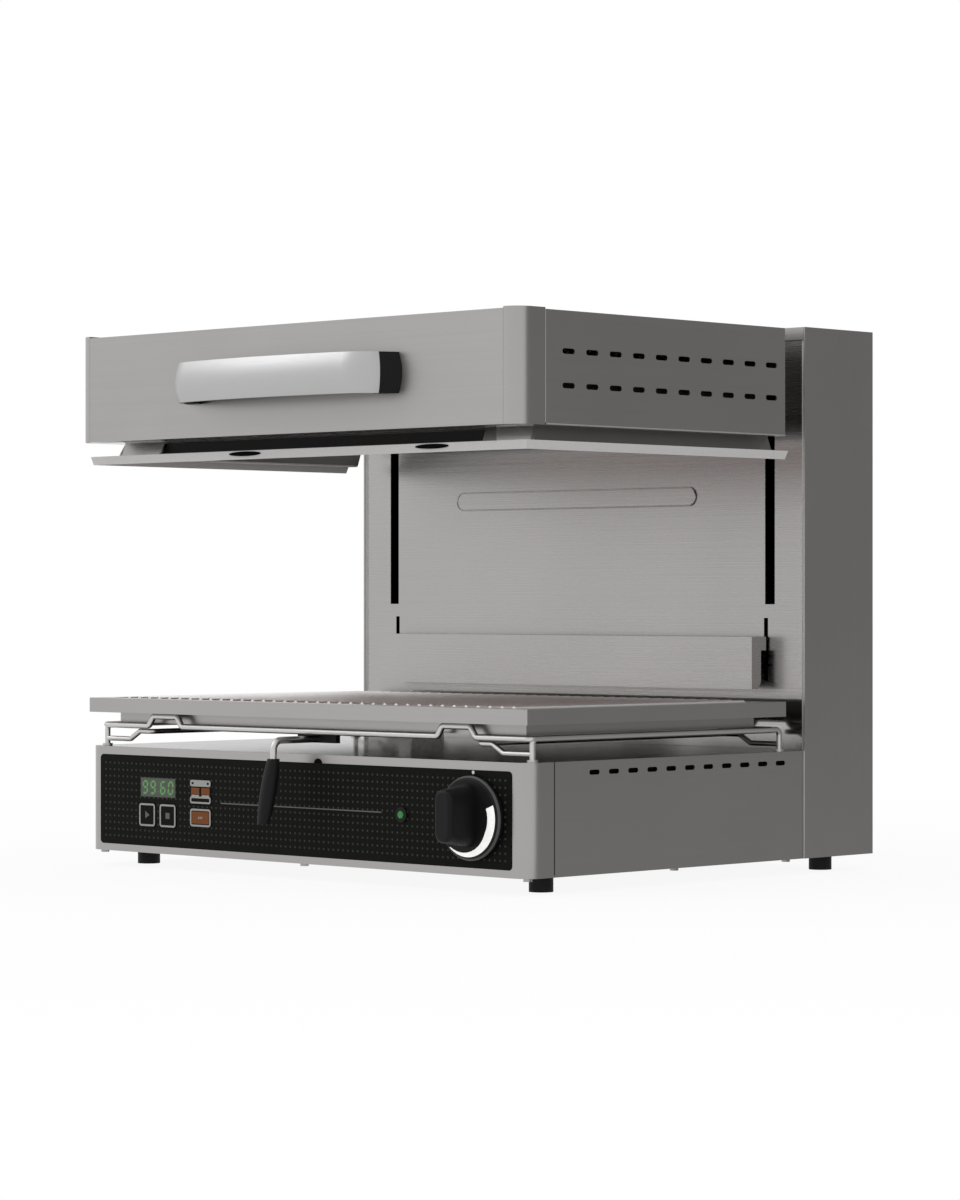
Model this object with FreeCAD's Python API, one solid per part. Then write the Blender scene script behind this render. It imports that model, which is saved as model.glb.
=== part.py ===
import FreeCAD, Part
import math
import os

V = FreeCAD.Vector
UP = V(0, 0, 1)

# Lift salamander grill. X runs to the right, Y to the back, Z up, all in millimetres.

# Overall sizes
WIDTH = 600.0
COLUMN_DEPTH = 103.5
HOOD_GAP = 27.5
HOOD_DEPTH = 365.5
HANDLE_REACH = 48.5
FOOT_HEIGHT = 15.0
BASE_HEIGHT = 102.0
COLUMN_HEIGHT = 504.0
HOOD_HEIGHT = 102.0
HOOD_BELOW_TOP = 2.5
HOOD_LOW_CLEAR = 117.5

# Sheet thickness and clearances
SHEET = 1.5
SEAM = 0.2
PLAY = 0.4
RUNNING = 0.05

# How far a cutting tool runs past a face, and how closely an edge is picked by its place
OVERRUN = 1.0
NEAR = 0.1

# Base
BASE_INSET = 1.5
BASE_SETBACK = 13.0
CORNER_RADIUS = 18.0
BASE_SEAM_DEPTH = 33.5
DECK_TONGUE = 19.0
FOOT_RADIUS = 11.0
FOOT_SIDE_INSET = 34.0
FOOT_FRONT_INSET = 51.0
FOOT_BACK_INSET = 38.5
SCREW_RADIUS = 4.0
SCREW_HEIGHT = 3.0
SCREW_INSET = 12.0
SIDE_SCREW_FROM_FRONT = 207.5
BASE_VENT_BACK = 52.5
BASE_VENT_COUNT = 11
BASE_VENT_PITCH = 25.95
BASE_VENT_LENGTH = 13.5
BASE_VENT_HEIGHT = 4.5
BASE_VENT_DROP = 10.5

# Control fascia, measured from its lower left or lower right corner
FASCIA_SIDE_MARGIN = 19.5
FASCIA_BOTTOM_MARGIN = 7.0
FASCIA_TOP_MARGIN = 8.0
FASCIA_RADIUS = 4.0
FASCIA_THICKNESS = 3.0
FASCIA_PROUD = 0.3
DISPLAY_WIDTH = 51.0
DISPLAY_HEIGHT = 18.5
DISPLAY_FROM_LEFT = 85.0
DISPLAY_UP = 56.75
DISPLAY_RECESS = 0.4
START_FROM_LEFT = 70.0
STOP_FROM_LEFT = 100.0
ROUND_KEY_WIDTH = 24.0
ROUND_KEY_HEIGHT = 23.0
LOWER_ROW_UP = 30.0
ZONE_FROM_LEFT = 147.4
ZONE_KEY_WIDTH = 30.2
ZONE_KEY_HEIGHT = 23.5
ZONE_UP = 54.75
HOLD_KEY_HEIGHT = 18.0
KEY_RADIUS = 3.0
KEY_PROUD = 0.5
KEY_TRAVEL = 0.8
KEY_FLANGE = 1.5
KEY_FLANGE_THICKNESS = 1.2
BOARD_THICKNESS = 1.6
BOARD_GAP = 5.5
BOARD_MARGIN = 4.0
STANDOFF_RADIUS = 1.5
LAMP_FROM_RIGHT = 137.2
LAMP_UP = 43.8
LAMP_RING_RADIUS = 7.0
LAMP_LENS_RADIUS = 3.6
LAMP_HOLE_RADIUS = 6.2
LAMP_PROUD = 2.0
LAMP_DOME = 1.0
LAMP_DOME_FILLET = 0.8
LAMP_LENGTH = 16.0

# Knob and the regulator behind it
KNOB_FROM_RIGHT = 47.5
KNOB_UP = 44.3
KNOB_RADIUS = 37.7
KNOB_SKIRT_THICKNESS = 7.0
KNOB_SKIRT_CHAMFER = 3.2
KNOB_GAP = 0.8
KNOB_REACH = 40.0
KNOB_GRIP_WIDTH = 21.0
KNOB_GRIP_HEIGHT = 56.0
KNOB_GRIP_DRAFT = 4.7
KNOB_GRIP_LIFT = 3.0
KNOB_GRIP_RADIUS = 9.4
KNOB_GRIP_FILLET = 4.0
SHAFT_RADIUS = 3.0
SHAFT_HOLE_RADIUS = 4.5
SHAFT_SEAT = 14.0
REGULATOR_SIZE = 46.0
REGULATOR_DEPTH = 42.0
REGULATOR_BORE_DEPTH = 16.0

# Electrical pieces standing on the bottom tray
CONTACTOR = (45.0, 62.0, 58.0)
CONTACTOR_NOSE = (32.0, 31.0, 12.0)
CONTACTOR_AT = (-60.0, -40.0)
TRANSFORMER = (62.0, 54.0, 52.0)
TRANSFORMER_COIL = (37.0, 73.0, 31.0)
TRANSFORMER_AT = (40.0, -30.0)
TERMINAL = (86.0, 26.0, 34.0)
TERMINAL_FROM_LEFT = 100.0
TERMINAL_FROM_COLUMN = 49.0
TERMINAL_WAYS = 5
TERMINAL_SCREW_RADIUS = 4.0
TERMINAL_SCREW_DEPTH = 12.0

# Column
PANEL_RECESS = 2.0
PANEL_RISE = 49.0
CAP_BAND = 12.0
ARM_INSET = 44.5
ARM_RISE = 23.5
ARM_HEIGHT = 60.0
ARM_THICKNESS = 8.0
ARM_SLOT_WIDTH = 12.0
ARM_END_GAP = 2.0
ARM_FOOT_WIDTH = 40.0
ARM_FOOT_THICKNESS = 3.0
GUIDE_SLOT_INSET = 49.4
GUIDE_SLOT_WIDTH = 5.0
GUIDE_SLOT_HEIGHT = 60.0
GUIDE_SLOT_DROP = 13.0
BEAD_LENGTH = 324.0
BEAD_HEIGHT = 17.5
BEAD_PROUD = 1.2
BEAD_RISE = 195.0
ROD_RADIUS = 8.0
ROD_BACK = 46.0
BUSH_WALL = 3.0
BLOCK_WIDTH = 36.0
BLOCK_DEPTH = 36.0
CROSSBAR_DROP = 3.0
CROSSBAR_HEIGHT = 20.0
CROSSBAR_DEPTH = 20.0
MEMBER_DEPTH = 50.0
MEMBER_THICKNESS = 7.0
MEMBER_GAP = 7.0
COLLAR_WALL = 5.0
COLLAR_HEIGHT = 15.0
SPRING_FROM_ROD = 50.0
SPRING_RADIUS = 10.0
SPRING_ROD_RADIUS = 4.0
SPRING_BORE_GAP = 0.4
SPRING_END = 8.0
SPRING_HOLD = 10.0
SPRING_TOP_GAP = 1.5

# Cable inlet in a recess of the rear cover
COVER_RISE = 12.0
INLET_WIDTH = 70.0
INLET_HEIGHT = 46.0
INLET_DEPTH = 18.0
INLET_FROM_LEFT = 100.0
INLET_RISE = 60.0
GLAND_OFFSET = -14.0
GLAND_RADIUS = 12.0
GLAND_BODY_RADIUS = 9.0
GLAND_BORE_RADIUS = 6.5
GLAND_NUT = 10.0
GLAND_BODY = 12.0
STUD_OFFSET = 20.0
STUD_RADIUS = 3.0
STUD_NECK_RADIUS = 4.0
STUD_LENGTH = 12.0
STUD_NUT_RADIUS = 5.5
STUD_NUT = 5.0
REAR_VENT_COUNT = 9
REAR_VENT_PITCH = 14.0
REAR_VENT_LENGTH = 180.0
REAR_VENT_HEIGHT = 5.0
REAR_VENT_RISE = 330.0

# Plate sensor bar, a shallow box that slides back on two pins
BAR_HALF = 253.0
BAR_HEIGHT = 50.0
BAR_RISE = 58.0
BAR_DEPTH = 24.0
BAR_SHEET = 1.2
BAR_TRAVEL = 2.5
BAR_NOTCH_WIDTH = 7.5
BAR_NOTCH_HEIGHT = 37.0
BAR_FLARE_WIDTH = 4.0
BAR_FLARE_HEIGHT = 7.0
PIN_X = 160.0
PIN_RADIUS = 4.0
PIN_LENGTH = 40.0
SWITCH = (26.0, 18.0, 14.0)
SWITCH_BRACKET = 3.0
SWITCH_BRACKET_WIDTH = 20.0

# Hood
HOOD_INSET = 1.5
HOOD_SEAM_DEPTH = 35.0
CORNER_RISE = 1.5
FOLD_DEPTH = 20.0
HEM_THICKNESS = 3.0
HEM_HEIGHT = 3.5
HOOD_VENT_COUNT = 10
HOOD_VENT_PITCH = 31.15
HOOD_VENT_LENGTH = 16.0
HOOD_VENT_HEIGHT = 5.0
HOOD_VENT_BACK = 30.0
HOOD_VENT_RISES = (35.5, 66.0)
CHAMBER_SIDE = 28.5
CHAMBER_FRONT = 50.0
CHAMBER_BACK = 37.5
REFLECTOR_SHEET = 1.2
REFLECTOR_RISE = 25.5
REFLECTOR_SLOPE = 15.0
INSULATION_MARGIN = 16.0
INSULATION_THICKNESS = 24.0
TUBE_COUNT = 6
TUBE_RADIUS = 5.0
TUBE_PITCH = 42.0
TUBE_RISE = 11.0
HOLDER_WIDTH = 12.0
HOLDER_INSET = 22.0
HOLDER_BELOW = 7.0
SKIRT_SHEET = 1.5
SKIRT_GAP = 13.5
SKIRT_LIP = 8.0
SKIRT_LEAN = 2.0
SKIRT_SIDE_INSET = 3.0
SKIRT_FRONT_INSET = 14.0
SKIRT_END_SLANT = 6.0
SKIRT_WALL_MARGIN = 7.0
SKIRT_FLARE = 5.0
FRONT_OPENING_HALF = 218.0
FRONT_OPENING_MARGIN = 1.8
BAFFLE_BACK = 9.0

# Hood handle
HANDLE_X = 7.5
BOW_HALF = 109.0
BOW_RADIUS = 640.0
BEND_RADIUS = 40.0
END_ANGLE = 62.0
BOW_HEIGHT = 37.5
BOW_THICKNESS = 9.0
BOW_CROWN = 4.0
BOW_RISE = 50.5
END_THICKNESS = 20.0

# Drip pan and cooking grid
RIM_SIDE_INSET = 1.7
RIM_FRONT_INSET = 0.6
RIM_BACK_GAP = 24.0
RIM_RISE = 33.0
RIM_HEIGHT = 14.0
RIM_WIDTH = 16.8
RIM_RETURN = 18.0
PAN_SHEET = 1.2
PAN_DEPTH = 24.0
LEDGE_DEPTH = 7.0
LEDGE_WIDTH = 6.0
GRID_FRAME_RADIUS = 3.0
GRID_ROD_RADIUS = 2.5
GRID_ROD_COUNT = 36
GRID_CLEAR = 1.0
GRID_PROUD = 1.5

# Wire stand and its front handle
WIRE_RADIUS = 3.0
WIRE_BEND = 5.0
LEG_RADIUS = 2.7
FRAME_RISE = 20.5
FRAME_FRONT_INSET = 12.4
FRAME_BACK_INSET = 8.0
FRAME_SIDE_INSET = 8.8
SADDLE_INNER = 174.0
SADDLE_TOP_INNER = 180.0
SADDLE_TOP_OUTER = 215.0
SADDLE_OUTER = 222.0
LEG_FRONT_INSET = 3.5
LEG_BACK_OVERHANG = 8.5
LEG_SPAN = 20.0
GLIDE_RADIUS = 5.0
GLIDE_HEIGHT = 2.0
RUNNER_RADIUS = 2.5
RUNNER_LOW = 7.0
RUNNER_HIGH = 15.0
RUNNER_OUTER = 253.0
RUNNER_STEP = 239.0
RUNNER_INNER = 222.0
BRACKET_HALF = 26.0
BRACKET_HEIGHT = 11.0
BRACKET_BEHIND = 14.5
BRACKET_DEPTH = 5.5
TONGUE_HALF = 8.0
TONGUE_THICKNESS = 3.0
LEVER_RADIUS = 3.25
LEVER_DROP = 7.5
LEVER_REACH = 40.5
LEVER_BEND = 9.0
LEVER_FALL = 17.0
LEVER_SEAT = 4.0
LEVER_GRIP_LENGTH = 60.0
LEVER_GRIP_BELLY = 27.0
LEVER_GRIP_LEAN = 13.0
LEVER_GRIP_TOP = (12.0, 11.0)
LEVER_GRIP_MIDDLE = (17.0, 14.0)
LEVER_GRIP_END = (12.0, 10.0)

# Planes worked out from the sizes above
HALF = WIDTH / 2
BASE_HALF = HALF - BASE_INSET
HOOD_HALF = HALF - HOOD_INSET
DEPTH = COLUMN_DEPTH + HOOD_GAP + HOOD_DEPTH + HANDLE_REACH
Y_BACK = DEPTH / 2
Y_COLUMN = Y_BACK - COLUMN_DEPTH
Y_PANEL = Y_COLUMN + PANEL_RECESS
Y_PANEL_BACK = Y_PANEL + SHEET
Y_COVER = Y_BACK - SHEET
Y_HOOD_BACK = Y_COLUMN - HOOD_GAP
Y_HOOD = Y_HOOD_BACK - HOOD_DEPTH
Y_HANDLE = Y_HOOD - HANDLE_REACH
Y_BASE = Y_HOOD + BASE_SETBACK
Y_BASE_SEAM = Y_BASE + BASE_SEAM_DEPTH
Y_HOOD_SEAM = Y_HOOD + HOOD_SEAM_DEPTH
Z_BASE = FOOT_HEIGHT
Z_TRAY = Z_BASE + SHEET
Z_DECK = Z_BASE + BASE_HEIGHT
Z_TOP = Z_BASE + COLUMN_HEIGHT
Z_PANEL = Z_DECK + PANEL_RISE
Z_CAP = Z_TOP - CAP_BAND
Z_HOOD_TOP = Z_TOP - HOOD_BELOW_TOP
Z_HOOD = Z_HOOD_TOP - HOOD_HEIGHT
HOOD_TRAVEL = Z_HOOD - Z_DECK - HOOD_LOW_CLEAR
Z_ARM = Z_HOOD + ARM_RISE
Z_ARM_TOP = Z_ARM + ARM_HEIGHT
Z_ARM_SLOT = Z_ARM - HOOD_TRAVEL - ARM_END_GAP
INNER_HALF = HALF - SHEET - SEAM
X_ARM = HALF - ARM_INSET
Y_ROD = Y_COLUMN + ROD_BACK


def box(x0, x1, y0, y1, z0, z1):
    return Part.makeBox(x1 - x0, y1 - y0, z1 - z0, V(x0, y0, z0))


def block(centre_x, centre_y, z0, size):
    width, depth, height = size
    return box(centre_x - width / 2, centre_x + width / 2,
               centre_y - depth / 2, centre_y + depth / 2, z0, z0 + height)


def upright(radius, x, y, z0, z1):
    return Part.makeCylinder(radius, z1 - z0, V(x, y, z0))


def along_y(radius, x, z, y0, y1):
    return Part.makeCylinder(radius, y1 - y0, V(x, y0, z), V(0, 1, 0))


def along_x(radius, y, z, x0, x1):
    return Part.makeCylinder(radius, x1 - x0, V(x0, y, z), V(1, 0, 0))


def mirrored(shape):
    return shape.mirror(V(0, 0, 0), V(1, 0, 0))


def both(shape):
    return Part.makeCompound([mirrored(shape), shape])


# A prism along X from an outline of Y and Z
def prism(x0, x1, outline):
    points = [V(x0, y, z) for y, z in outline]
    face = Part.Face(Part.makePolygon(points + points[:1]))
    return face.extrude(V(x1 - x0, 0, 0))


def ring(outer, inner, z0, z1):
    return box(*outer, z0, z1).cut(box(*inner, z0, z1))


def inset(rect, margin):
    x0, x1, y0, y1 = rect
    return (x0 + margin, x1 - margin, y0 + margin, y1 - margin)


# A plate of rounded rectangle outline, standing across Y
def plate_across(x, z, width, height, radius, y0, y1):
    plate = box(x - width / 2, x + width / 2, y0, y1, z - height / 2, z + height / 2)
    corners = [e for e in plate.Edges if e.BoundBox.YLength > NEAR]
    return plate.makeFillet(radius, corners)


# A straight slot with round ends, cut along X and lying along Y
def side_slot(y, z, length, height, x0, x1):
    reach = (length - height) / 2
    slot = box(x0, x1, y - reach, y + reach, z - height / 2, z + height / 2)
    ends = [along_x(height / 2, y + side * reach, z, x0, x1) for side in (-1, 1)]
    return slot.fuse(ends)


# A straight slot with round ends, cut along Y and lying along X
def front_slot(x, z, length, height, y0, y1):
    reach = (length - height) / 2
    slot = box(x - reach, x + reach, y0, y1, z - height / 2, z + height / 2)
    ends = [along_y(height / 2, x + side * reach, z, y0, y1) for side in (-1, 1)]
    return slot.fuse(ends)


# A plan outline with two round front corners, raised from z0 to z1
def round_front(half, front, back, radius, z0, z1):
    turn = radius * math.sqrt(0.5)
    left = -half + radius
    right = half - radius
    centre = front + radius
    edges = [
        Part.LineSegment(V(-half, back, z0), V(-half, centre, z0)),
        Part.Arc(V(-half, centre, z0), V(left - turn, centre - turn, z0), V(left, front, z0)),
        Part.LineSegment(V(left, front, z0), V(right, front, z0)),
        Part.Arc(V(right, front, z0), V(right + turn, centre - turn, z0), V(half, centre, z0)),
        Part.LineSegment(V(half, centre, z0), V(half, back, z0)),
        Part.LineSegment(V(half, back, z0), V(-half, back, z0)),
    ]
    face = Part.Face(Part.Wire([edge.toShape() for edge in edges]))
    return face.extrude(V(0, 0, z1 - z0))


def base_core(margin, back, z0, z1):
    return round_front(BASE_HALF - margin, Y_BASE + margin, back, CORNER_RADIUS - margin, z0, z1)


def hood_core(margin, back, z0, z1):
    return round_front(HOOD_HALF - margin, Y_HOOD + margin, back, CORNER_RADIUS - margin, z0, z1)


# A round wire bent along a list of points, with one bend radius
def bent_wire(points, radius, bend):
    edges = []
    start = points[0]
    for before, corner, after in zip(points, points[1:], points[2:]):
        back = (before - corner).normalize()
        ahead = (after - corner).normalize()
        half_angle = back.getAngle(ahead) / 2
        setback = bend / math.tan(half_angle)
        inward = (back + ahead).normalize()
        entry = corner + back * setback
        leave = corner + ahead * setback
        middle = corner + inward * (bend / math.sin(half_angle) - bend)
        edges.append(Part.LineSegment(start, entry).toShape())
        edges.append(Part.Arc(entry, middle, leave).toShape())
        start = leave
    edges.append(Part.LineSegment(start, points[-1]).toShape())
    section = Part.Wire(Part.makeCircle(radius, points[0], points[1] - points[0]))
    return Part.Wire(edges).makePipeShell([section], True, False)


def rectangle(rect, z):
    x0, x1, y0, y1 = rect
    return Part.makePolygon([V(x0, y0, z), V(x1, y0, z), V(x1, y1, z), V(x0, y1, z), V(x0, y0, z)])


def frustum(low, z0, high, z1):
    return Part.makeLoft([rectangle(low, z0), rectangle(high, z1)], True, True)


# Base

def bottom_tray():
    back = Y_COVER - SEAM
    front_part = base_core(SHEET + SEAM, Y_COLUMN, Z_BASE, Z_TRAY)
    rear_part = box(-INNER_HALF, INNER_HALF, Y_COLUMN, back, Z_BASE, Z_TRAY)
    return front_part.fuse(rear_part).removeSplitter()


def feet():
    pads = []
    for x in (-HALF + FOOT_SIDE_INSET, HALF - FOOT_SIDE_INSET):
        for y in (Y_BASE + FOOT_FRONT_INSET, Y_BACK - FOOT_BACK_INSET):
            pads.append(upright(FOOT_RADIUS, x, y, 0, Z_BASE))
    return Part.makeCompound(pads)


def base_screws():
    front_row = Y_BASE + SCREW_INSET
    side_row = BASE_HALF - SCREW_INSET
    spots = [(-side_row, front_row), (0, front_row), (side_row, front_row)]
    for y in (Y_BASE + SIDE_SCREW_FROM_FRONT, Y_COLUMN - SCREW_INSET):
        spots += [(-side_row, y), (side_row, y)]
    heads = [upright(SCREW_RADIUS, x, y, Z_BASE - SCREW_HEIGHT, Z_BASE) for x, y in spots]
    return Part.makeCompound(heads)


X_FASCIA = BASE_HALF - FASCIA_SIDE_MARGIN
Z_FASCIA = Z_BASE + FASCIA_BOTTOM_MARGIN
Z_FASCIA_TOP = Z_DECK - FASCIA_TOP_MARGIN
Y_FASCIA = Y_BASE - FASCIA_PROUD
Y_FASCIA_BACK = Y_FASCIA + FASCIA_THICKNESS
Y_BOARD = Y_FASCIA_BACK + BOARD_GAP
FASCIA_HEIGHT = Z_FASCIA_TOP - Z_FASCIA
FASCIA_MIDDLE = (Z_FASCIA + Z_FASCIA_TOP) / 2


def base_front_frame():
    shell = base_core(0, Y_BASE_SEAM, Z_BASE, Z_DECK)
    hollow = base_core(SHEET, Y_BASE_SEAM, Z_BASE, Z_DECK)
    window = plate_across(0, FASCIA_MIDDLE, 2 * (X_FASCIA + SEAM), FASCIA_HEIGHT + 2 * SEAM,
                          FASCIA_RADIUS + SEAM, Y_BASE - SHEET, Y_BASE + 2 * SHEET)
    return shell.cut(hollow).cut(window)


def base_side():
    plate = box(BASE_HALF - SHEET, BASE_HALF, Y_BASE_SEAM + SEAM, Y_COLUMN - SEAM, Z_BASE, Z_DECK)
    first = Y_BASE_SEAM + BASE_VENT_BACK
    vents = [side_slot(first + BASE_VENT_PITCH * i, Z_DECK - BASE_VENT_DROP, BASE_VENT_LENGTH,
                       BASE_VENT_HEIGHT, BASE_HALF - 2 * SHEET, BASE_HALF + SHEET)
             for i in range(BASE_VENT_COUNT)]
    return plate.cut(vents)


def deck():
    return base_core(SHEET + SEAM, Y_COLUMN + DECK_TONGUE, Z_DECK - SHEET, Z_DECK)


# Keys are given by their centre, width and height
START_X = -X_FASCIA + START_FROM_LEFT
STOP_X = -X_FASCIA + STOP_FROM_LEFT
ZONE_X = -X_FASCIA + ZONE_FROM_LEFT
ZONE_Z = Z_FASCIA + ZONE_UP
LOWER_ROW_Z = Z_FASCIA + LOWER_ROW_UP
KEYS = {
    "start_key": (START_X, LOWER_ROW_Z, ROUND_KEY_WIDTH, ROUND_KEY_HEIGHT),
    "stop_key": (STOP_X, LOWER_ROW_Z, ROUND_KEY_WIDTH, ROUND_KEY_HEIGHT),
    "zone_key": (ZONE_X, ZONE_Z, ZONE_KEY_WIDTH, ZONE_KEY_HEIGHT),
    "hold_key": (ZONE_X, LOWER_ROW_Z, ZONE_KEY_WIDTH, HOLD_KEY_HEIGHT),
}
DISPLAY_X = -X_FASCIA + DISPLAY_FROM_LEFT
DISPLAY_Z = Z_FASCIA + DISPLAY_UP
LAMP_X = X_FASCIA - LAMP_FROM_RIGHT
LAMP_Z = Z_FASCIA + LAMP_UP
KNOB_X = X_FASCIA - KNOB_FROM_RIGHT
KNOB_Z = Z_FASCIA + KNOB_UP


def display_block(margin, y0, y1):
    half_width = DISPLAY_WIDTH / 2 + margin
    half_height = DISPLAY_HEIGHT / 2 + margin
    return box(DISPLAY_X - half_width, DISPLAY_X + half_width, y0, y1,
               DISPLAY_Z - half_height, DISPLAY_Z + half_height)


def control_fascia():
    plate = plate_across(0, FASCIA_MIDDLE, 2 * X_FASCIA, FASCIA_HEIGHT, FASCIA_RADIUS,
                         Y_FASCIA, Y_FASCIA_BACK)
    y0 = Y_FASCIA - OVERRUN
    y1 = Y_FASCIA_BACK + OVERRUN
    holes = [plate_across(x, z, w + 2 * PLAY, h + 2 * PLAY, KEY_RADIUS + PLAY, y0, y1)
             for x, z, w, h in KEYS.values()]
    holes.append(display_block(SEAM, y0, y1))
    holes.append(along_y(LAMP_HOLE_RADIUS, LAMP_X, LAMP_Z, y0, y1))
    holes.append(along_y(SHAFT_HOLE_RADIUS, KNOB_X, KNOB_Z, y0, y1))
    return plate.cut(holes)


def display_module():
    return display_block(0, Y_FASCIA + DISPLAY_RECESS, Y_BOARD)


def key(x, z, width, height):
    flange_front = Y_FASCIA_BACK + PLAY
    cap = plate_across(x, z, width, height, KEY_RADIUS, Y_FASCIA - KEY_PROUD, flange_front)
    flange = plate_across(x, z, width + 2 * KEY_FLANGE, height + 2 * KEY_FLANGE, KEY_RADIUS + KEY_FLANGE,
                          flange_front, flange_front + KEY_FLANGE_THICKNESS)
    return cap.fuse(flange).removeSplitter()


# The board stands on four posts behind the fascia and carries one switch behind each key
def control_board():
    xs = [x + side * w / 2 for x, z, w, h in KEYS.values() for side in (-1, 1)]
    zs = [z + side * h / 2 for x, z, w, h in KEYS.values() for side in (-1, 1)]
    x0 = min(xs) - BOARD_MARGIN
    x1 = max(xs) + BOARD_MARGIN
    z0 = min(zs) - BOARD_MARGIN
    z1 = max(max(zs), DISPLAY_Z + DISPLAY_HEIGHT / 2) + BOARD_MARGIN
    board = box(x0, x1, Y_BOARD, Y_BOARD + BOARD_THICKNESS, z0, z1)
    post = STANDOFF_RADIUS
    posts = [along_y(post, x, z, Y_FASCIA_BACK, Y_BOARD)
             for x in (x0 + post, x1 - post) for z in (z0 + post, z1 - post)]
    pressed = Y_FASCIA_BACK + PLAY + KEY_FLANGE_THICKNESS + KEY_TRAVEL + PLAY
    switches = [along_y(KEY_RADIUS, x, z, pressed, Y_BOARD) for x, z, w, h in KEYS.values()]
    return board.fuse(posts + switches)


def indicator_lamp():
    y0 = Y_FASCIA - LAMP_PROUD
    y1 = Y_FASCIA + LAMP_LENGTH
    body_radius = LAMP_HOLE_RADIUS - SEAM
    ring_part = along_y(LAMP_RING_RADIUS, LAMP_X, LAMP_Z, y0, Y_FASCIA)
    body = along_y(body_radius, LAMP_X, LAMP_Z, Y_FASCIA, y1)
    socket = along_y(LAMP_LENS_RADIUS, LAMP_X, LAMP_Z, y0, Y_FASCIA_BACK)
    return ring_part.fuse(body).cut(socket)


def lamp_lens():
    y0 = Y_FASCIA - LAMP_PROUD
    lens = along_y(LAMP_LENS_RADIUS - SEAM, LAMP_X, LAMP_Z, y0 - LAMP_DOME, Y_FASCIA_BACK)
    front = [e for e in lens.Edges if e.Closed and e.CenterOfMass.y < y0]
    return lens.makeFillet(LAMP_DOME_FILLET, front)


Y_KNOB = Y_FASCIA - KNOB_GAP
Y_KNOB_FRONT = Y_FASCIA - KNOB_REACH
Y_KNOB_SKIRT = Y_KNOB - KNOB_SKIRT_THICKNESS
Y_REGULATOR = Y_FASCIA_BACK + SEAM


def knob_skirt():
    disc = along_y(KNOB_RADIUS, KNOB_X, KNOB_Z, Y_KNOB_SKIRT, Y_KNOB)
    front = [e for e in disc.Edges if e.Closed and e.CenterOfMass.y < Y_KNOB_SKIRT + NEAR]
    disc = disc.makeChamfer(KNOB_SKIRT_CHAMFER, front)
    return disc.cut(along_y(SHAFT_RADIUS + SEAM, KNOB_X, KNOB_Z, Y_KNOB_SKIRT, Y_KNOB))


# The bar grip stands upright on the skirt, tapers to its front and is rounded there
def knob_grip():
    middle = KNOB_Z + KNOB_GRIP_LIFT
    rear = KNOB_GRIP_HEIGHT / 2
    fore = rear - KNOB_GRIP_DRAFT
    outline = [(Y_KNOB_SKIRT, middle - rear), (Y_KNOB_FRONT, middle - fore),
               (Y_KNOB_FRONT, middle + fore), (Y_KNOB_SKIRT, middle + rear)]
    grip = prism(KNOB_X - KNOB_GRIP_WIDTH / 2, KNOB_X + KNOB_GRIP_WIDTH / 2, outline)
    corners = [e for e in grip.Edges if e.BoundBox.YLength > NEAR]
    grip = grip.makeFillet(KNOB_GRIP_RADIUS, corners)
    front = [e for e in grip.Edges if e.CenterOfMass.y < Y_KNOB_FRONT + NEAR]
    grip = grip.makeFillet(KNOB_GRIP_FILLET, front)
    seat = along_y(SHAFT_RADIUS + SEAM, KNOB_X, KNOB_Z, Y_KNOB_SKIRT - SHAFT_SEAT, Y_KNOB_SKIRT)
    return grip.cut(seat)


def knob_shaft():
    return along_y(SHAFT_RADIUS, KNOB_X, KNOB_Z, Y_KNOB_SKIRT - SHAFT_SEAT + SEAM,
                   Y_REGULATOR + REGULATOR_BORE_DEPTH - PLAY)


def power_regulator():
    half = REGULATOR_SIZE / 2
    body = box(KNOB_X - half, KNOB_X + half, Y_REGULATOR, Y_REGULATOR + REGULATOR_DEPTH,
               KNOB_Z - half, KNOB_Z + half)
    bore = along_y(SHAFT_RADIUS + RUNNING, KNOB_X, KNOB_Z, Y_REGULATOR, Y_REGULATOR + REGULATOR_BORE_DEPTH)
    return body.cut(bore)


def contactor():
    height = CONTACTOR[2]
    body = block(*CONTACTOR_AT, Z_TRAY, CONTACTOR)
    nose = block(*CONTACTOR_AT, Z_TRAY + height, CONTACTOR_NOSE)
    return body.fuse(nose)


def transformer():
    rise = (TRANSFORMER[2] - TRANSFORMER_COIL[2]) / 2
    core = block(*TRANSFORMER_AT, Z_TRAY, TRANSFORMER)
    coil = block(*TRANSFORMER_AT, Z_TRAY + rise, TRANSFORMER_COIL)
    return core.fuse(coil)


def terminal_block():
    width, depth, height = TERMINAL
    centre_x = -HALF + TERMINAL_FROM_LEFT
    centre_y = Y_COLUMN - TERMINAL_FROM_COLUMN
    body = block(centre_x, centre_y, Z_TRAY, TERMINAL)
    step = width / TERMINAL_WAYS
    first = centre_x - width / 2 + step / 2
    top = Z_TRAY + height
    screws = [upright(TERMINAL_SCREW_RADIUS, first + step * i, centre_y, top - TERMINAL_SCREW_DEPTH, top)
              for i in range(TERMINAL_WAYS)]
    return body.cut(screws)


# Column

def column_side():
    return box(HALF - SHEET, HALF, Y_COLUMN, Y_BACK, Z_BASE, Z_TOP)


X_GUIDE = HALF - GUIDE_SLOT_INSET
Z_GUIDE_TOP = Z_ARM_SLOT - GUIDE_SLOT_DROP
Z_BAR = Z_DECK + BAR_RISE
Z_BAR_MIDDLE = Z_BAR + BAR_HEIGHT / 2


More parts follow.
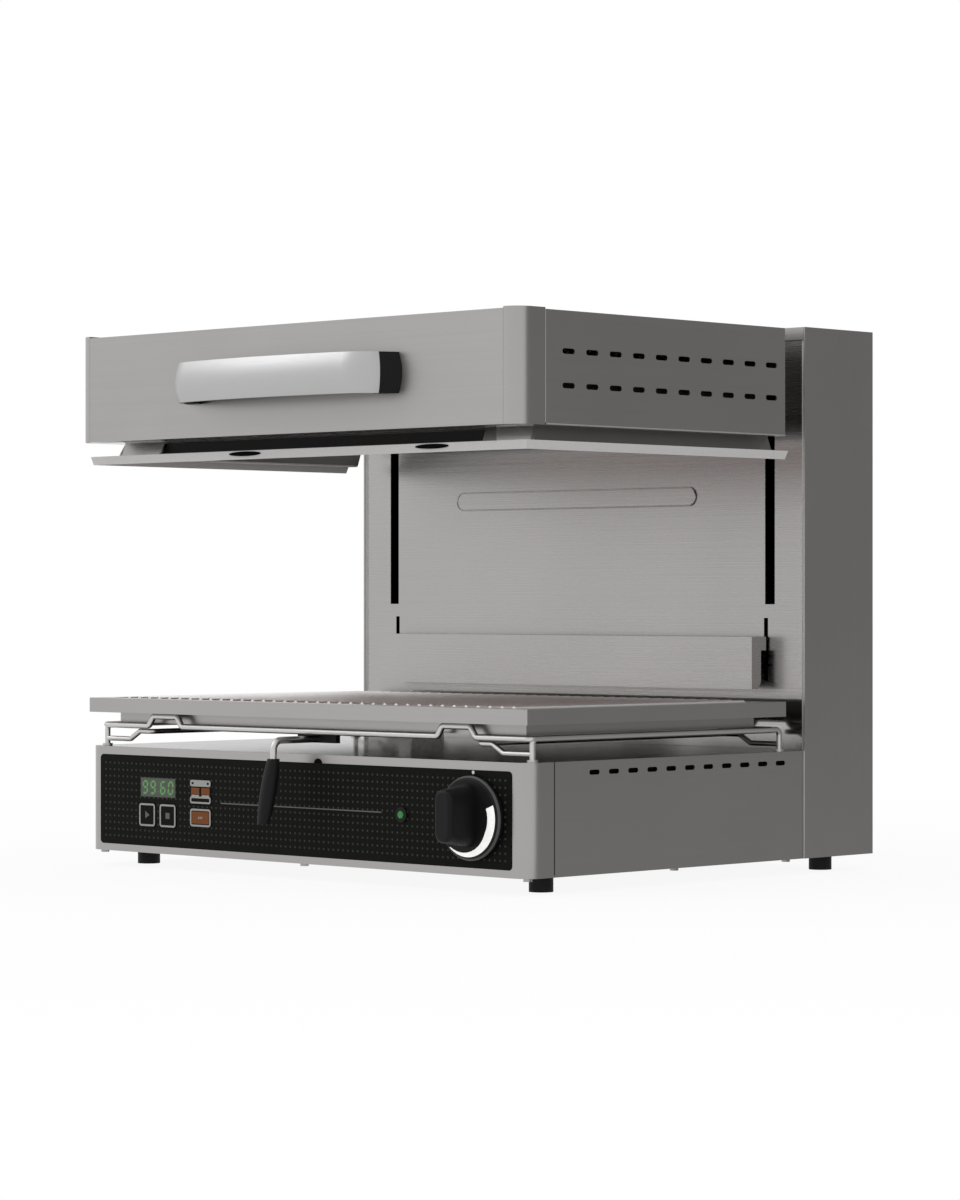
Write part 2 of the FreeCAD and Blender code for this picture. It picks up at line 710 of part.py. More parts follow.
def column_front_panel():
    panel = box(-INNER_HALF, INNER_HALF, Y_PANEL, Y_PANEL_BACK, Z_PANEL, Z_CAP - SEAM)
    y0 = Y_PANEL - SHEET
    y1 = Y_PANEL_BACK + SHEET
    arm_slot = box(X_ARM - ARM_SLOT_WIDTH / 2, X_ARM + ARM_SLOT_WIDTH / 2, y0, y1,
                   Z_ARM_SLOT, Z_ARM_TOP + ARM_END_GAP)
    guide_slot = box(X_GUIDE - GUIDE_SLOT_WIDTH / 2, X_GUIDE + GUIDE_SLOT_WIDTH / 2, y0, y1,
                     Z_GUIDE_TOP - GUIDE_SLOT_HEIGHT, Z_GUIDE_TOP)
    pin_hole = along_y(PIN_RADIUS + RUNNING, PIN_X, Z_BAR_MIDDLE, y0, y1)
    cuts = [arm_slot, guide_slot, pin_hole]
    panel = panel.cut(cuts + [mirrored(cut) for cut in cuts])
    bead = front_slot(0, Z_PANEL + BEAD_RISE, BEAD_LENGTH, BEAD_HEIGHT, Y_PANEL - BEAD_PROUD, Y_PANEL)
    return panel.fuse(bead).removeSplitter()


def column_top_cap():
    top = box(-INNER_HALF, INNER_HALF, Y_COLUMN, Y_BACK, Z_TOP - SHEET, Z_TOP)
    band = box(-INNER_HALF, INNER_HALF, Y_COLUMN, Y_COLUMN + SHEET, Z_CAP, Z_TOP)
    return top.fuse(band)


Z_INLET = Z_BASE + INLET_RISE
Y_INLET = Y_COVER - INLET_DEPTH
X_INLET = -HALF + INLET_FROM_LEFT
X_GLAND = X_INLET + GLAND_OFFSET
X_STUD = X_INLET + STUD_OFFSET


# The rear cover has a pressed recess for the cable gland and the bonding stud
def column_rear_cover():
    cover = box(-INNER_HALF, INNER_HALF, Y_COVER, Y_BACK, Z_BASE + COVER_RISE, Z_TOP - SHEET - SEAM)
    x0 = X_INLET - INLET_WIDTH / 2
    x1 = X_INLET + INLET_WIDTH / 2
    z0 = Z_INLET - INLET_HEIGHT / 2
    z1 = Z_INLET + INLET_HEIGHT / 2
    pressed = box(x0 - SHEET, x1 + SHEET, Y_INLET - SHEET, Y_COVER, z0 - SHEET, z1 + SHEET)
    hollow = box(x0, x1, Y_INLET, Y_BACK, z0, z1)
    first = Z_BASE + REAR_VENT_RISE
    vents = [front_slot(0, first + REAR_VENT_PITCH * i, REAR_VENT_LENGTH, REAR_VENT_HEIGHT,
                        Y_COVER - SHEET, Y_BACK + SHEET) for i in range(REAR_VENT_COUNT)]
    gland_hole = along_y(GLAND_BODY_RADIUS + SEAM, X_GLAND, Z_INLET, Y_INLET - 2 * SHEET, Y_INLET)
    stud_hole = along_y(STUD_NECK_RADIUS + SEAM, X_STUD, Z_INLET, Y_INLET - 2 * SHEET, Y_INLET)
    return cover.fuse(pressed).cut([hollow, gland_hole, stud_hole] + vents)


def cable_gland():
    nut = along_y(GLAND_RADIUS, X_GLAND, Z_INLET, Y_INLET, Y_INLET + GLAND_NUT)
    body = along_y(GLAND_BODY_RADIUS, X_GLAND, Z_INLET, Y_INLET - GLAND_BODY, Y_INLET)
    bore = along_y(GLAND_BORE_RADIUS, X_GLAND, Z_INLET, Y_INLET - GLAND_BODY, Y_INLET + GLAND_NUT)
    return nut.fuse(body).cut(bore)


def bonding_stud():
    stud = along_y(STUD_RADIUS, X_STUD, Z_INLET, Y_INLET, Y_INLET + STUD_LENGTH)
    neck = along_y(STUD_NECK_RADIUS, X_STUD, Z_INLET, Y_INLET - SHEET, Y_INLET)
    head = along_y(STUD_NUT_RADIUS, X_STUD, Z_INLET, Y_INLET - SHEET - STUD_NUT, Y_INLET - SHEET)
    return stud.fuse([neck, head])


# Lift mechanism. The spring cylinders stand on the lower cross member and hold the rods of the hood.
Z_MEMBER_TOP = Z_ARM_TOP + MEMBER_GAP
Z_CROSSBAR = Z_ARM_TOP - CROSSBAR_DROP - CROSSBAR_HEIGHT
Z_SPRING_TOP = Z_CROSSBAR - HOOD_TRAVEL - SPRING_TOP_GAP
Z_SPRING = Z_SPRING_TOP - HOOD_TRAVEL - SPRING_HOLD - SPRING_END
X_SPRING = X_ARM - SPRING_FROM_ROD


def cross_member(z0):
    return box(-INNER_HALF, INNER_HALF, Y_ROD - MEMBER_DEPTH / 2, Y_ROD + MEMBER_DEPTH / 2,
               z0, z0 + MEMBER_THICKNESS)


# The lower member's front edge turns up as an apron behind the panel's foot
def lower_member():
    plate = cross_member(Z_SPRING - MEMBER_THICKNESS)
    y0 = Y_ROD - MEMBER_DEPTH / 2
    apron = box(-INNER_HALF, INNER_HALF, y0, y0 + SHEET, Z_SPRING, Z_PANEL)
    collar = upright(ROD_RADIUS + COLLAR_WALL, X_ARM, Y_ROD, Z_SPRING, Z_SPRING + COLLAR_HEIGHT)
    hole = upright(ROD_RADIUS + RUNNING, X_ARM, Y_ROD, Z_SPRING, Z_SPRING + COLLAR_HEIGHT)
    socket = collar.cut(hole)
    return plate.fuse([apron, socket, mirrored(socket)]).removeSplitter()


def upper_member():
    plate = cross_member(Z_MEMBER_TOP)
    hole = upright(ROD_RADIUS + RUNNING, X_ARM, Y_ROD, Z_MEMBER_TOP, Z_MEMBER_TOP + MEMBER_THICKNESS)
    return plate.cut([hole, mirrored(hole)])


def guide_rods():
    return both(upright(ROD_RADIUS, X_ARM, Y_ROD, Z_SPRING, Z_MEMBER_TOP + MEMBER_THICKNESS))


def gas_spring_cylinders():
    bore_radius = SPRING_ROD_RADIUS + SPRING_BORE_GAP
    barrel = upright(SPRING_RADIUS, X_SPRING, Y_ROD, Z_SPRING, Z_SPRING_TOP)
    bore = upright(bore_radius, X_SPRING, Y_ROD, Z_SPRING + SPRING_END / 2, Z_SPRING_TOP)
    return both(barrel.cut(bore))


def gas_spring_rods():
    return both(upright(SPRING_ROD_RADIUS, X_SPRING, Y_ROD, Z_SPRING_TOP - SPRING_HOLD, Z_CROSSBAR))


# Each arm is bolted to the back of the hood, passes the panel's slot and carries a bush on the rod
def carriage_arms():
    y_block = Y_ROD - BLOCK_DEPTH / 2
    foot = box(X_ARM - ARM_FOOT_WIDTH / 2, X_ARM + ARM_FOOT_WIDTH / 2, Y_HOOD_BACK,
               Y_HOOD_BACK + ARM_FOOT_THICKNESS, Z_ARM, Z_ARM_TOP)
    arm = box(X_ARM - ARM_THICKNESS / 2, X_ARM + ARM_THICKNESS / 2, Y_HOOD_BACK, y_block, Z_ARM, Z_ARM_TOP)
    carrier = box(X_ARM - BLOCK_WIDTH / 2, X_ARM + BLOCK_WIDTH / 2, y_block, y_block + BLOCK_DEPTH,
                  Z_ARM, Z_ARM_TOP)
    bore = upright(ROD_RADIUS + BUSH_WALL, X_ARM, Y_ROD, Z_ARM, Z_ARM_TOP)
    return both(foot.fuse([arm, carrier]).cut(bore))


def slide_bushes():
    sleeve = upright(ROD_RADIUS + BUSH_WALL - RUNNING, X_ARM, Y_ROD, Z_ARM, Z_ARM_TOP)
    bore = upright(ROD_RADIUS + RUNNING, X_ARM, Y_ROD, Z_ARM, Z_ARM_TOP)
    return both(sleeve.cut(bore))


def carriage_crossbar():
    half = X_ARM - BLOCK_WIDTH / 2
    return box(-half, half, Y_ROD - CROSSBAR_DEPTH / 2, Y_ROD + CROSSBAR_DEPTH / 2,
               Z_CROSSBAR, Z_CROSSBAR + CROSSBAR_HEIGHT)


# Plate sensor bar
Y_BAR = Y_PANEL - BAR_DEPTH
Y_BAR_BACK = Y_PANEL - BAR_TRAVEL - PLAY


# A notch in the back edge of the bar's right end wall, flared at its foot
def bar_notch():
    edge = Y_BAR_BACK - BAR_NOTCH_WIDTH
    top = Z_BAR + BAR_NOTCH_HEIGHT
    outline = [(Y_BAR_BACK, Z_BAR), (edge - BAR_FLARE_WIDTH, Z_BAR), (edge, Z_BAR + BAR_FLARE_HEIGHT),
               (edge, top), (Y_BAR_BACK, top)]
    return prism(BAR_HALF - 2 * BAR_SHEET, BAR_HALF + BAR_SHEET, outline)


def plate_sensor_bar():
    outer = box(-BAR_HALF, BAR_HALF, Y_BAR, Y_BAR_BACK, Z_BAR, Z_BAR + BAR_HEIGHT)
    hollow = box(-BAR_HALF + BAR_SHEET, BAR_HALF - BAR_SHEET, Y_BAR + BAR_SHEET, Y_BAR_BACK,
                 Z_BAR, Z_BAR + BAR_HEIGHT - BAR_SHEET)
    notch = bar_notch()
    pin = along_y(PIN_RADIUS, PIN_X, Z_BAR_MIDDLE, Y_BAR, Y_BAR + PIN_LENGTH)
    return outer.cut([hollow, notch, mirrored(notch)]).fuse([pin, mirrored(pin)])


def plate_switch():
    width, depth, height = SWITCH
    y0 = Y_BAR + PIN_LENGTH + BAR_TRAVEL + PLAY
    body = block(-PIN_X, y0 + depth / 2, Z_BAR_MIDDLE - height / 2, SWITCH)
    x0 = -PIN_X + width / 2
    bracket = box(x0, x0 + SWITCH_BRACKET, Y_PANEL_BACK, y0 + depth,
                  Z_BAR_MIDDLE - height / 2, Z_BAR_MIDDLE + height / 2)
    foot = box(x0, x0 + SWITCH_BRACKET_WIDTH, Y_PANEL_BACK, Y_PANEL_BACK + SWITCH_BRACKET,
               Z_BAR_MIDDLE - height / 2, Z_BAR_MIDDLE + height / 2)
    return body.fuse([bracket, foot])


# Hood shell

X_CORNER = HOOD_HALF - CORNER_RADIUS


def hood_front_panel():
    half = X_CORNER - SEAM
    face = box(-half, half, Y_HOOD, Y_HOOD + SHEET, Z_HOOD, Z_HOOD_TOP)
    top_fold = box(-half, half, Y_HOOD, Y_HOOD + FOLD_DEPTH, Z_HOOD_TOP - SHEET, Z_HOOD_TOP)
    low_fold = box(-half, half, Y_HOOD, Y_HOOD + FOLD_DEPTH, Z_HOOD, Z_HOOD + SHEET)
    return face.fuse([top_fold, low_fold])


# The round front corners are separate posts with a closed top, a little higher than the panels
def hood_corners():
    z1 = Z_HOOD_TOP + CORNER_RISE
    post = hood_core(0, Y_HOOD_SEAM, Z_HOOD, z1).cut(hood_core(SHEET, Y_HOOD_SEAM, Z_HOOD, Z_HOOD_TOP))
    region = box(X_CORNER, HOOD_HALF, Y_HOOD, Y_HOOD_SEAM, Z_HOOD, z1)
    return both(post.common(region))


def hood_side():
    front = Y_HOOD_SEAM + SEAM
    plate = box(HOOD_HALF - SHEET, HOOD_HALF, front, Y_HOOD_BACK, Z_HOOD, Z_HOOD_TOP)
    hem = box(HOOD_HALF - HEM_THICKNESS, HOOD_HALF, front, Y_HOOD_BACK, Z_HOOD, Z_HOOD + HEM_HEIGHT)
    first = Y_HOOD_SEAM + HOOD_VENT_BACK
    vents = [side_slot(first + HOOD_VENT_PITCH * i, Z_HOOD + rise, HOOD_VENT_LENGTH, HOOD_VENT_HEIGHT,
                       HOOD_HALF - 2 * SHEET, HOOD_HALF + SHEET)
             for i in range(HOOD_VENT_COUNT) for rise in HOOD_VENT_RISES]
    return plate.fuse(hem).cut(vents)


def hood_top_cover():
    cover = hood_core(SHEET + SEAM, Y_HOOD_BACK, Z_HOOD_TOP - SHEET, Z_HOOD_TOP)
    fold = box(-X_CORNER, X_CORNER, Y_HOOD, Y_HOOD + FOLD_DEPTH + SEAM, Z_HOOD, Z_HOOD_TOP + SHEET)
    return cover.cut(fold)


# The heating chamber opens downward through the hood's floor, whose back edge turns up as the rear panel
CHAMBER = (-HOOD_HALF + CHAMBER_SIDE, HOOD_HALF - CHAMBER_SIDE,
           Y_HOOD + CHAMBER_FRONT, Y_HOOD_BACK - CHAMBER_BACK)


def hood_floor():
    margin = HEM_THICKNESS + SEAM
    plate = hood_core(margin, Y_HOOD_BACK, Z_HOOD, Z_HOOD + SHEET)
    front_cut = box(-X_CORNER, X_CORNER, Y_HOOD, Y_HOOD + FOLD_DEPTH + SEAM, Z_HOOD, Z_HOOD + SHEET)
    half = HOOD_HALF - margin
    rear = box(-half, half, Y_HOOD_BACK - SHEET, Y_HOOD_BACK, Z_HOOD, Z_HOOD_TOP - SHEET)
    return plate.cut([front_cut, box(*CHAMBER, Z_HOOD, Z_HOOD + SHEET)]).fuse(rear).removeSplitter()


Z_REFLECTOR = Z_HOOD + REFLECTOR_RISE
REFLECTOR_LOW = inset(CHAMBER, SEAM)
REFLECTOR_HIGH = inset(CHAMBER, REFLECTOR_SLOPE)


def reflector():
    outer = frustum(REFLECTOR_LOW, Z_HOOD, REFLECTOR_HIGH, Z_REFLECTOR)
    hollow = frustum(inset(REFLECTOR_LOW, REFLECTOR_SHEET), Z_HOOD,
                     inset(REFLECTOR_HIGH, REFLECTOR_SHEET), Z_REFLECTOR - REFLECTOR_SHEET)
    return outer.cut(hollow)


def insulation_slab():
    slab = inset(CHAMBER, -INSULATION_MARGIN)
    return box(*slab, Z_REFLECTOR, Z_REFLECTOR + INSULATION_THICKNESS)


# Quartz tubes lie from left to right in two ceramic rails that hang from the reflector
Y_CHAMBER = (CHAMBER[2] + CHAMBER[3]) / 2
Z_TUBE = Z_HOOD + TUBE_RISE
X_HOLDER = CHAMBER[1] - HOLDER_INSET
TUBE_YS = [Y_CHAMBER + TUBE_PITCH * (i - (TUBE_COUNT - 1) / 2) for i in range(TUBE_COUNT)]


def quartz_tubes():
    tubes = [along_x(TUBE_RADIUS, y, Z_TUBE, -X_HOLDER, X_HOLDER) for y in TUBE_YS]
    return Part.makeCompound(tubes)


def tube_holders():
    reach = TUBE_PITCH * (TUBE_COUNT - 1) / 2 + HOLDER_WIDTH
    rail = box(X_HOLDER - HOLDER_WIDTH, X_HOLDER, Y_CHAMBER - reach, Y_CHAMBER + reach,
               Z_TUBE - HOLDER_BELOW, Z_REFLECTOR - REFLECTOR_SHEET)
    holes = [along_x(TUBE_RADIUS + SEAM, y, Z_TUBE, X_HOLDER - 2 * HOLDER_WIDTH, X_HOLDER + HOLDER_WIDTH)
             for y in TUBE_YS]
    return both(rail.cut(holes))


# Skirt under the hood, open at the back: a flared wall with a long front opening, and a lip that leans inward
Z_SKIRT = Z_HOOD - SKIRT_GAP
WALL_HIGH = inset(CHAMBER, -SKIRT_WALL_MARGIN)
WALL_LOW = inset(WALL_HIGH, -SKIRT_FLARE)


# A rectangle drawn in at the front and both sides, with its back edge put at a stated place
def three_sided(rect, margin, back):
    return inset(rect, margin)[:3] + (back,)


def skirt_wall():
    beyond = Y_HOOD_BACK + OVERRUN
    outer = frustum(three_sided(WALL_LOW, 0, Y_HOOD_BACK), Z_SKIRT,
                    three_sided(WALL_HIGH, 0, Y_HOOD_BACK), Z_HOOD)
    hollow = frustum(three_sided(WALL_LOW, SKIRT_SHEET, beyond), Z_SKIRT,
                     three_sided(WALL_HIGH, SKIRT_SHEET, beyond), Z_HOOD)
    opening = box(-FRONT_OPENING_HALF, FRONT_OPENING_HALF,
                  WALL_LOW[2] - SKIRT_SHEET, WALL_HIGH[2] + 2 * SKIRT_SHEET,
                  Z_SKIRT + FRONT_OPENING_MARGIN, Z_HOOD - FRONT_OPENING_MARGIN)
    return outer.cut([hollow, opening])


def skirt_ring():
    outer = (-HOOD_HALF + SKIRT_SIDE_INSET, HOOD_HALF - SKIRT_SIDE_INSET,
             Y_HOOD + SKIRT_FRONT_INSET, Y_HOOD_BACK)
    beyond = Y_HOOD_BACK + OVERRUN
    flange = ring(outer, three_sided(WALL_LOW, SKIRT_SHEET, beyond), Z_SKIRT - SKIRT_SHEET, Z_SKIRT)
    low = three_sided(outer, SKIRT_LEAN, Y_HOOD_BACK - SKIRT_END_SLANT)
    lip = frustum(low, Z_SKIRT - SKIRT_LIP, outer, Z_SKIRT)
    hollow = frustum(three_sided(low, SKIRT_SHEET, beyond), Z_SKIRT - SKIRT_LIP,
                     three_sided(outer, SKIRT_SHEET, beyond), Z_SKIRT)
    return flange.common(lip).fuse(lip.cut(hollow)).removeSplitter()


def air_baffle():
    half = FRONT_OPENING_HALF + BAFFLE_BACK
    y0 = WALL_HIGH[2] + SKIRT_SHEET + SEAM
    return box(-half, half, y0, y0 + SKIRT_SHEET, Z_SKIRT, Z_HOOD)


# Hood handle: a shallow bow with a crowned front face, which bends back to an end block on each side
BOW_ANGLE = math.degrees(math.asin(BOW_HALF / BOW_RADIUS))
BEND_ANGLE = END_ANGLE - BOW_ANGLE
BOW_AXIS = V(HANDLE_X, Y_HANDLE + BOW_RADIUS, 0)
Z_BOW = Z_HOOD + BOW_RISE


def turned_along(angle):
    turn = math.radians(angle)
    return V(math.cos(turn), math.sin(turn), 0)


# Axis of one bend, on the line from the bow's axis through the end of the bow
def bend_axis():
    across = turned_along(BOW_ANGLE - 90)
    return BOW_AXIS + across * (BOW_RADIUS - BEND_RADIUS)


# The crowned section at the right end of the bow
def handle_section(thickness):
    back = Y_HANDLE + thickness
    edge = Y_HANDLE + BOW_CROWN
    z0 = Z_BOW - BOW_HEIGHT / 2
    z1 = Z_BOW + BOW_HEIGHT / 2
    edges = [
        Part.LineSegment(V(HANDLE_X, back, z1), V(HANDLE_X, back, z0)),
        Part.LineSegment(V(HANDLE_X, back, z0), V(HANDLE_X, edge, z0)),
        Part.Arc(V(HANDLE_X, edge, z0), V(HANDLE_X, Y_HANDLE, Z_BOW), V(HANDLE_X, edge, z1)),
        Part.LineSegment(V(HANDLE_X, edge, z1), V(HANDLE_X, back, z1)),
    ]
    section = Part.Face(Part.Wire([line.toShape() for line in edges]))
    section.rotate(BOW_AXIS, UP, BOW_ANGLE)
    return section


def mirrored_handle(shape):
    return shape.mirror(V(HANDLE_X, 0, 0), V(1, 0, 0))


def handle_bow():
    section = handle_section(BOW_THICKNESS)
    bow = section.revolve(BOW_AXIS, UP, -2 * BOW_ANGLE)
    bend = section.revolve(bend_axis(), UP, BEND_ANGLE)
    return bow.fuse([bend, mirrored_handle(bend)])


# Each end block carries the bow's section on to the hood's face
def handle_ends():
    section = handle_section(END_THICKNESS)
    section.rotate(bend_axis(), UP, BEND_ANGLE)
    ahead = turned_along(END_ANGLE)
    section.translate(ahead * SEAM)
    end = section.extrude(ahead * HANDLE_REACH)
    room = box(0, HALF, Y_HANDLE, Y_HOOD, Z_HOOD, Z_HOOD_TOP)
    end = end.common(room)
    return Part.makeCompound([mirrored_handle(end), end])


# Drip pan: a folded rim, a ledge for the grid and a shallow well
RIM = (-BASE_HALF + RIM_SIDE_INSET, BASE_HALF - RIM_SIDE_INSET,
       Y_BASE + RIM_FRONT_INSET, Y_COLUMN - RIM_BACK_GAP)
WELL = inset(RIM, RIM_WIDTH)
SUMP = inset(WELL, LEDGE_WIDTH)
Z_RIM = Z_DECK + RIM_RISE
Z_RIM_TOP = Z_RIM + RIM_HEIGHT
Z_PAN = Z_RIM_TOP - PAN_DEPTH
Z_LEDGE = Z_RIM_TOP - LEDGE_DEPTH


def drip_pan():
    outside_well = inset(WELL, -PAN_SHEET)
    outside_sump = inset(SUMP, -PAN_SHEET)
    top = ring(RIM, WELL, Z_RIM_TOP - PAN_SHEET, Z_RIM_TOP)
    lip = ring(RIM, inset(RIM, PAN_SHEET), Z_RIM, Z_RIM_TOP)
    turned = ring(RIM, inset(RIM, RIM_RETURN), Z_RIM, Z_RIM + PAN_SHEET)
    wall = ring(outside_well, WELL, Z_LEDGE - PAN_SHEET, Z_RIM_TOP)
    ledge = ring(outside_well, SUMP, Z_LEDGE - PAN_SHEET, Z_LEDGE)
    sump = ring(outside_sump, SUMP, Z_PAN, Z_LEDGE)
    floor = box(*outside_sump, Z_PAN, Z_PAN + PAN_SHEET)
    return top.fuse([lip, turned, wall, ledge, sump, floor]).removeSplitter()


def cooking_grid():
    x0, x1, y0, y1 = inset(WELL, GRID_CLEAR + GRID_FRAME_RADIUS)
    z_frame = Z_LEDGE + GRID_FRAME_RADIUS
    z_rod = Z_RIM_TOP + GRID_PROUD - GRID_ROD_RADIUS
    frame = [along_x(GRID_FRAME_RADIUS, y, z_frame, x0, x1) for y in (y0, y1)]
    frame += [along_y(GRID_FRAME_RADIUS, x, z_frame, y0, y1) for x in (x0, x1)]
    frame += [Part.makeSphere(GRID_FRAME_RADIUS, V(x, y, z_frame)) for x in (x0, x1) for y in (y0, y1)]
    step = (x1 - x0) / (GRID_ROD_COUNT + 1)
    rods = [along_y(GRID_ROD_RADIUS, x0 + step * (i + 1), z_rod, y0, y1) for i in range(GRID_ROD_COUNT)]
    return frame[0].fuse(frame[1:] + rods)


# Wire stand: a closed frame with raised saddles, four legs with glides and two cranked runners
X_WIRE = RIM[1] - FRAME_SIDE_INSET
Y_WIRE = RIM[2] + FRAME_FRONT_INSET
Y_WIRE_BACK = RIM[3] - FRAME_BACK_INSET
Z_WIRE = Z_DECK + FRAME_RISE
Z_SADDLE = Z_RIM - WIRE_RADIUS


# Half of the closed frame: a cross bar with its saddles and half of each side bar
def half_frame(y, y_middle):
    steps = [(SADDLE_INNER, Z_WIRE), (SADDLE_TOP_INNER, Z_SADDLE), (SADDLE_TOP_OUTER, Z_SADDLE),
             (SADDLE_OUTER, Z_WIRE), (X_WIRE, Z_WIRE)]
    left = [V(-x, y, z) for x, z in reversed(steps)]
    right = [V(x, y, z) for x, z in steps]
    ends = [V(side * X_WIRE, y_middle, Z_WIRE) for side in (-1, 1)]
    return bent_wire([ends[0]] + left + right + [ends[1]], WIRE_RADIUS, WIRE_BEND)


def cranked_runner(y0, y1):
    low = Z_DECK + RUNNER_LOW
    high = Z_DECK + RUNNER_HIGH
    steps = [(X_WIRE, low), (RUNNER_OUTER, low), (RUNNER_STEP, high), (RUNNER_INNER, high)]
    points = [V(x, y0, z) for x, z in steps] + [V(x, y1, z) for x, z in reversed(steps)]
    return bent_wire(points, RUNNER_RADIUS, WIRE_BEND)


# A leg leaves the side bar at y_bar and turns down at y
def stand_leg(x, y_bar, y):
    points = [V(x, y_bar, Z_WIRE), V(x, y, Z_WIRE), V(x, y, Z_DECK)]
    leg = bent_wire(points, LEG_RADIUS, WIRE_BEND)
    glide = upright(GLIDE_RADIUS, x, y, Z_DECK, Z_DECK + GLIDE_HEIGHT)
    return leg.fuse(glide)


def wire_stand():
    middle = (Y_WIRE + Y_WIRE_BACK) / 2
    frame = half_frame(Y_WIRE, middle).fuse(half_frame(Y_WIRE_BACK, middle))
    y0 = Y_WIRE + LEG_FRONT_INSET
    y1 = Y_WIRE_BACK + LEG_BACK_OVERHANG
    side = [cranked_runner(y0, y1), stand_leg(X_WIRE, Y_WIRE + LEG_SPAN, y0),
            stand_leg(X_WIRE, Y_WIRE_BACK - LEG_SPAN, y1)]
    return frame.fuse(side + [mirrored(piece) for piece in side])


Z_LEVER = Z_WIRE - LEVER_DROP
Y_LEVER = Y_WIRE - LEVER_REACH
Y_BRACKET = Y_WIRE + BRACKET_BEHIND
Y_LEVER_SEAT = Y_BRACKET + LEVER_SEAT
Z_LEVER_END = Z_LEVER - LEVER_FALL


# The bracket hangs behind the front bar by a flat tongue and holds the handle's rod
def lever_bracket():
    body = box(-BRACKET_HALF, BRACKET_HALF, Y_BRACKET, Y_BRACKET + BRACKET_DEPTH,
               Z_WIRE - BRACKET_HEIGHT, Z_WIRE)
    tongue = box(-TONGUE_HALF, TONGUE_HALF, Y_WIRE, Y_BRACKET, Z_WIRE - TONGUE_THICKNESS, Z_WIRE)
    groove = along_x(WIRE_RADIUS + SEAM, Y_WIRE, Z_WIRE, -2 * BRACKET_HALF, 2 * BRACKET_HALF)
    seat = along_y(LEVER_RADIUS + SEAM, 0, Z_LEVER, Y_WIRE, Y_LEVER_SEAT)
    return body.fuse(tongue).removeSplitter().cut([groove, seat])


def lever_rod():
    start = Y_LEVER_SEAT - SEAM
    points = [V(0, start, Z_LEVER), V(0, Y_LEVER, Z_LEVER), V(0, Y_LEVER, Z_LEVER_END)]
    return bent_wire(points, LEVER_RADIUS, LEVER_BEND)


def grip_section(size, y, z):
    width, depth = size
    return Part.Wire(Part.Ellipse(V(0, y, z), width / 2, depth / 2).toShape())


def lever_grip():
    lean = LEVER_GRIP_LEAN * LEVER_GRIP_BELLY / LEVER_GRIP_LENGTH
    sections = [
        grip_section(LEVER_GRIP_TOP, Y_LEVER, Z_LEVER_END),
        grip_section(LEVER_GRIP_MIDDLE, Y_LEVER - lean, Z_LEVER_END - LEVER_GRIP_BELLY),
        grip_section(LEVER_GRIP_END, Y_LEVER - LEVER_GRIP_LEAN, Z_LEVER_END - LEVER_GRIP_LENGTH),
    ]
    return Part.makeLoft(sections, True, False)


PARTS = {
    "bottom_tray": bottom_tray(),
    "feet": feet(),
    "base_screws": base_screws(),
    "base_front_frame": base_front_frame(),
    "base_side_left": mirrored(base_side()),
    "base_side_right": base_side(),
    "deck": deck(),
    "control_fascia": control_fascia(),
    "display_module": display_module(),
    "control_board": control_board(),
    "indicator_lamp": indicator_lamp(),
    "lamp_lens": lamp_lens(),
    "knob_skirt": knob_skirt(),
    "knob_grip": knob_grip(),
    "knob_shaft": knob_shaft(),
    "power_regulator": power_regulator(),
    "contactor": contactor(),
    "transformer": transformer(),
    "terminal_block": terminal_block(),
    "column_side_left": mirrored(column_side()),
    "column_side_right": column_side(),
    "column_front_panel": column_front_panel(),
    "column_rear_cover": column_rear_cover(),
    "column_top_cap": column_top_cap(),
    "cable_gland": cable_gland(),
    "bonding_stud": bonding_stud(),
    "cross_members": Part.makeCompound([lower_member(), upper_member()]),
    "guide_rods": guide_rods(),
    "gas_spring_cylinders": gas_spring_cylinders(),
    "plate_sensor_bar": plate_sensor_bar(),
    "plate_switch": plate_switch(),
    "hood_front_panel": hood_front_panel(),
    "hood_corners": hood_corners(),
    "hood_side_left": mirrored(hood_side()),
    "hood_side_right": hood_side(),
    "hood_top_cover": hood_top_cover(),
    "hood_floor": hood_floor(),
    "reflector": reflector(),
    "insulation_slab": insulation_slab(),
    "quartz_tubes": quartz_tubes(),
    "tube_holders": tube_holders(),
    "skirt_wall": skirt_wall(),
    "skirt_ring": skirt_ring(),
    "air_baffle": air_baffle(),
    "handle_bow": handle_bow(),
    "handle_ends": handle_ends(),
    "carriage_arms": carriage_arms(),
    "carriage_crossbar": carriage_crossbar(),
    "slide_bushes": slide_bushes(),
    "gas_spring_rods": gas_spring_rods(),
    "drip_pan": drip_pan(),
    "cooking_grid": cooking_grid(),
    "wire_stand": wire_stand(),
    "lever_bracket": lever_bracket(),
    "lever_rod": lever_rod(),
    "lever_grip": lever_grip(),
}
for name, (x, z, width, height) in KEYS.items():
    PARTS[name] = key(x, z, width, height)

os.makedirs("parts", exist_ok=True)
for name, shape in PARTS.items():
    shape.exportStep("parts/" + name + ".step")
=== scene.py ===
import math

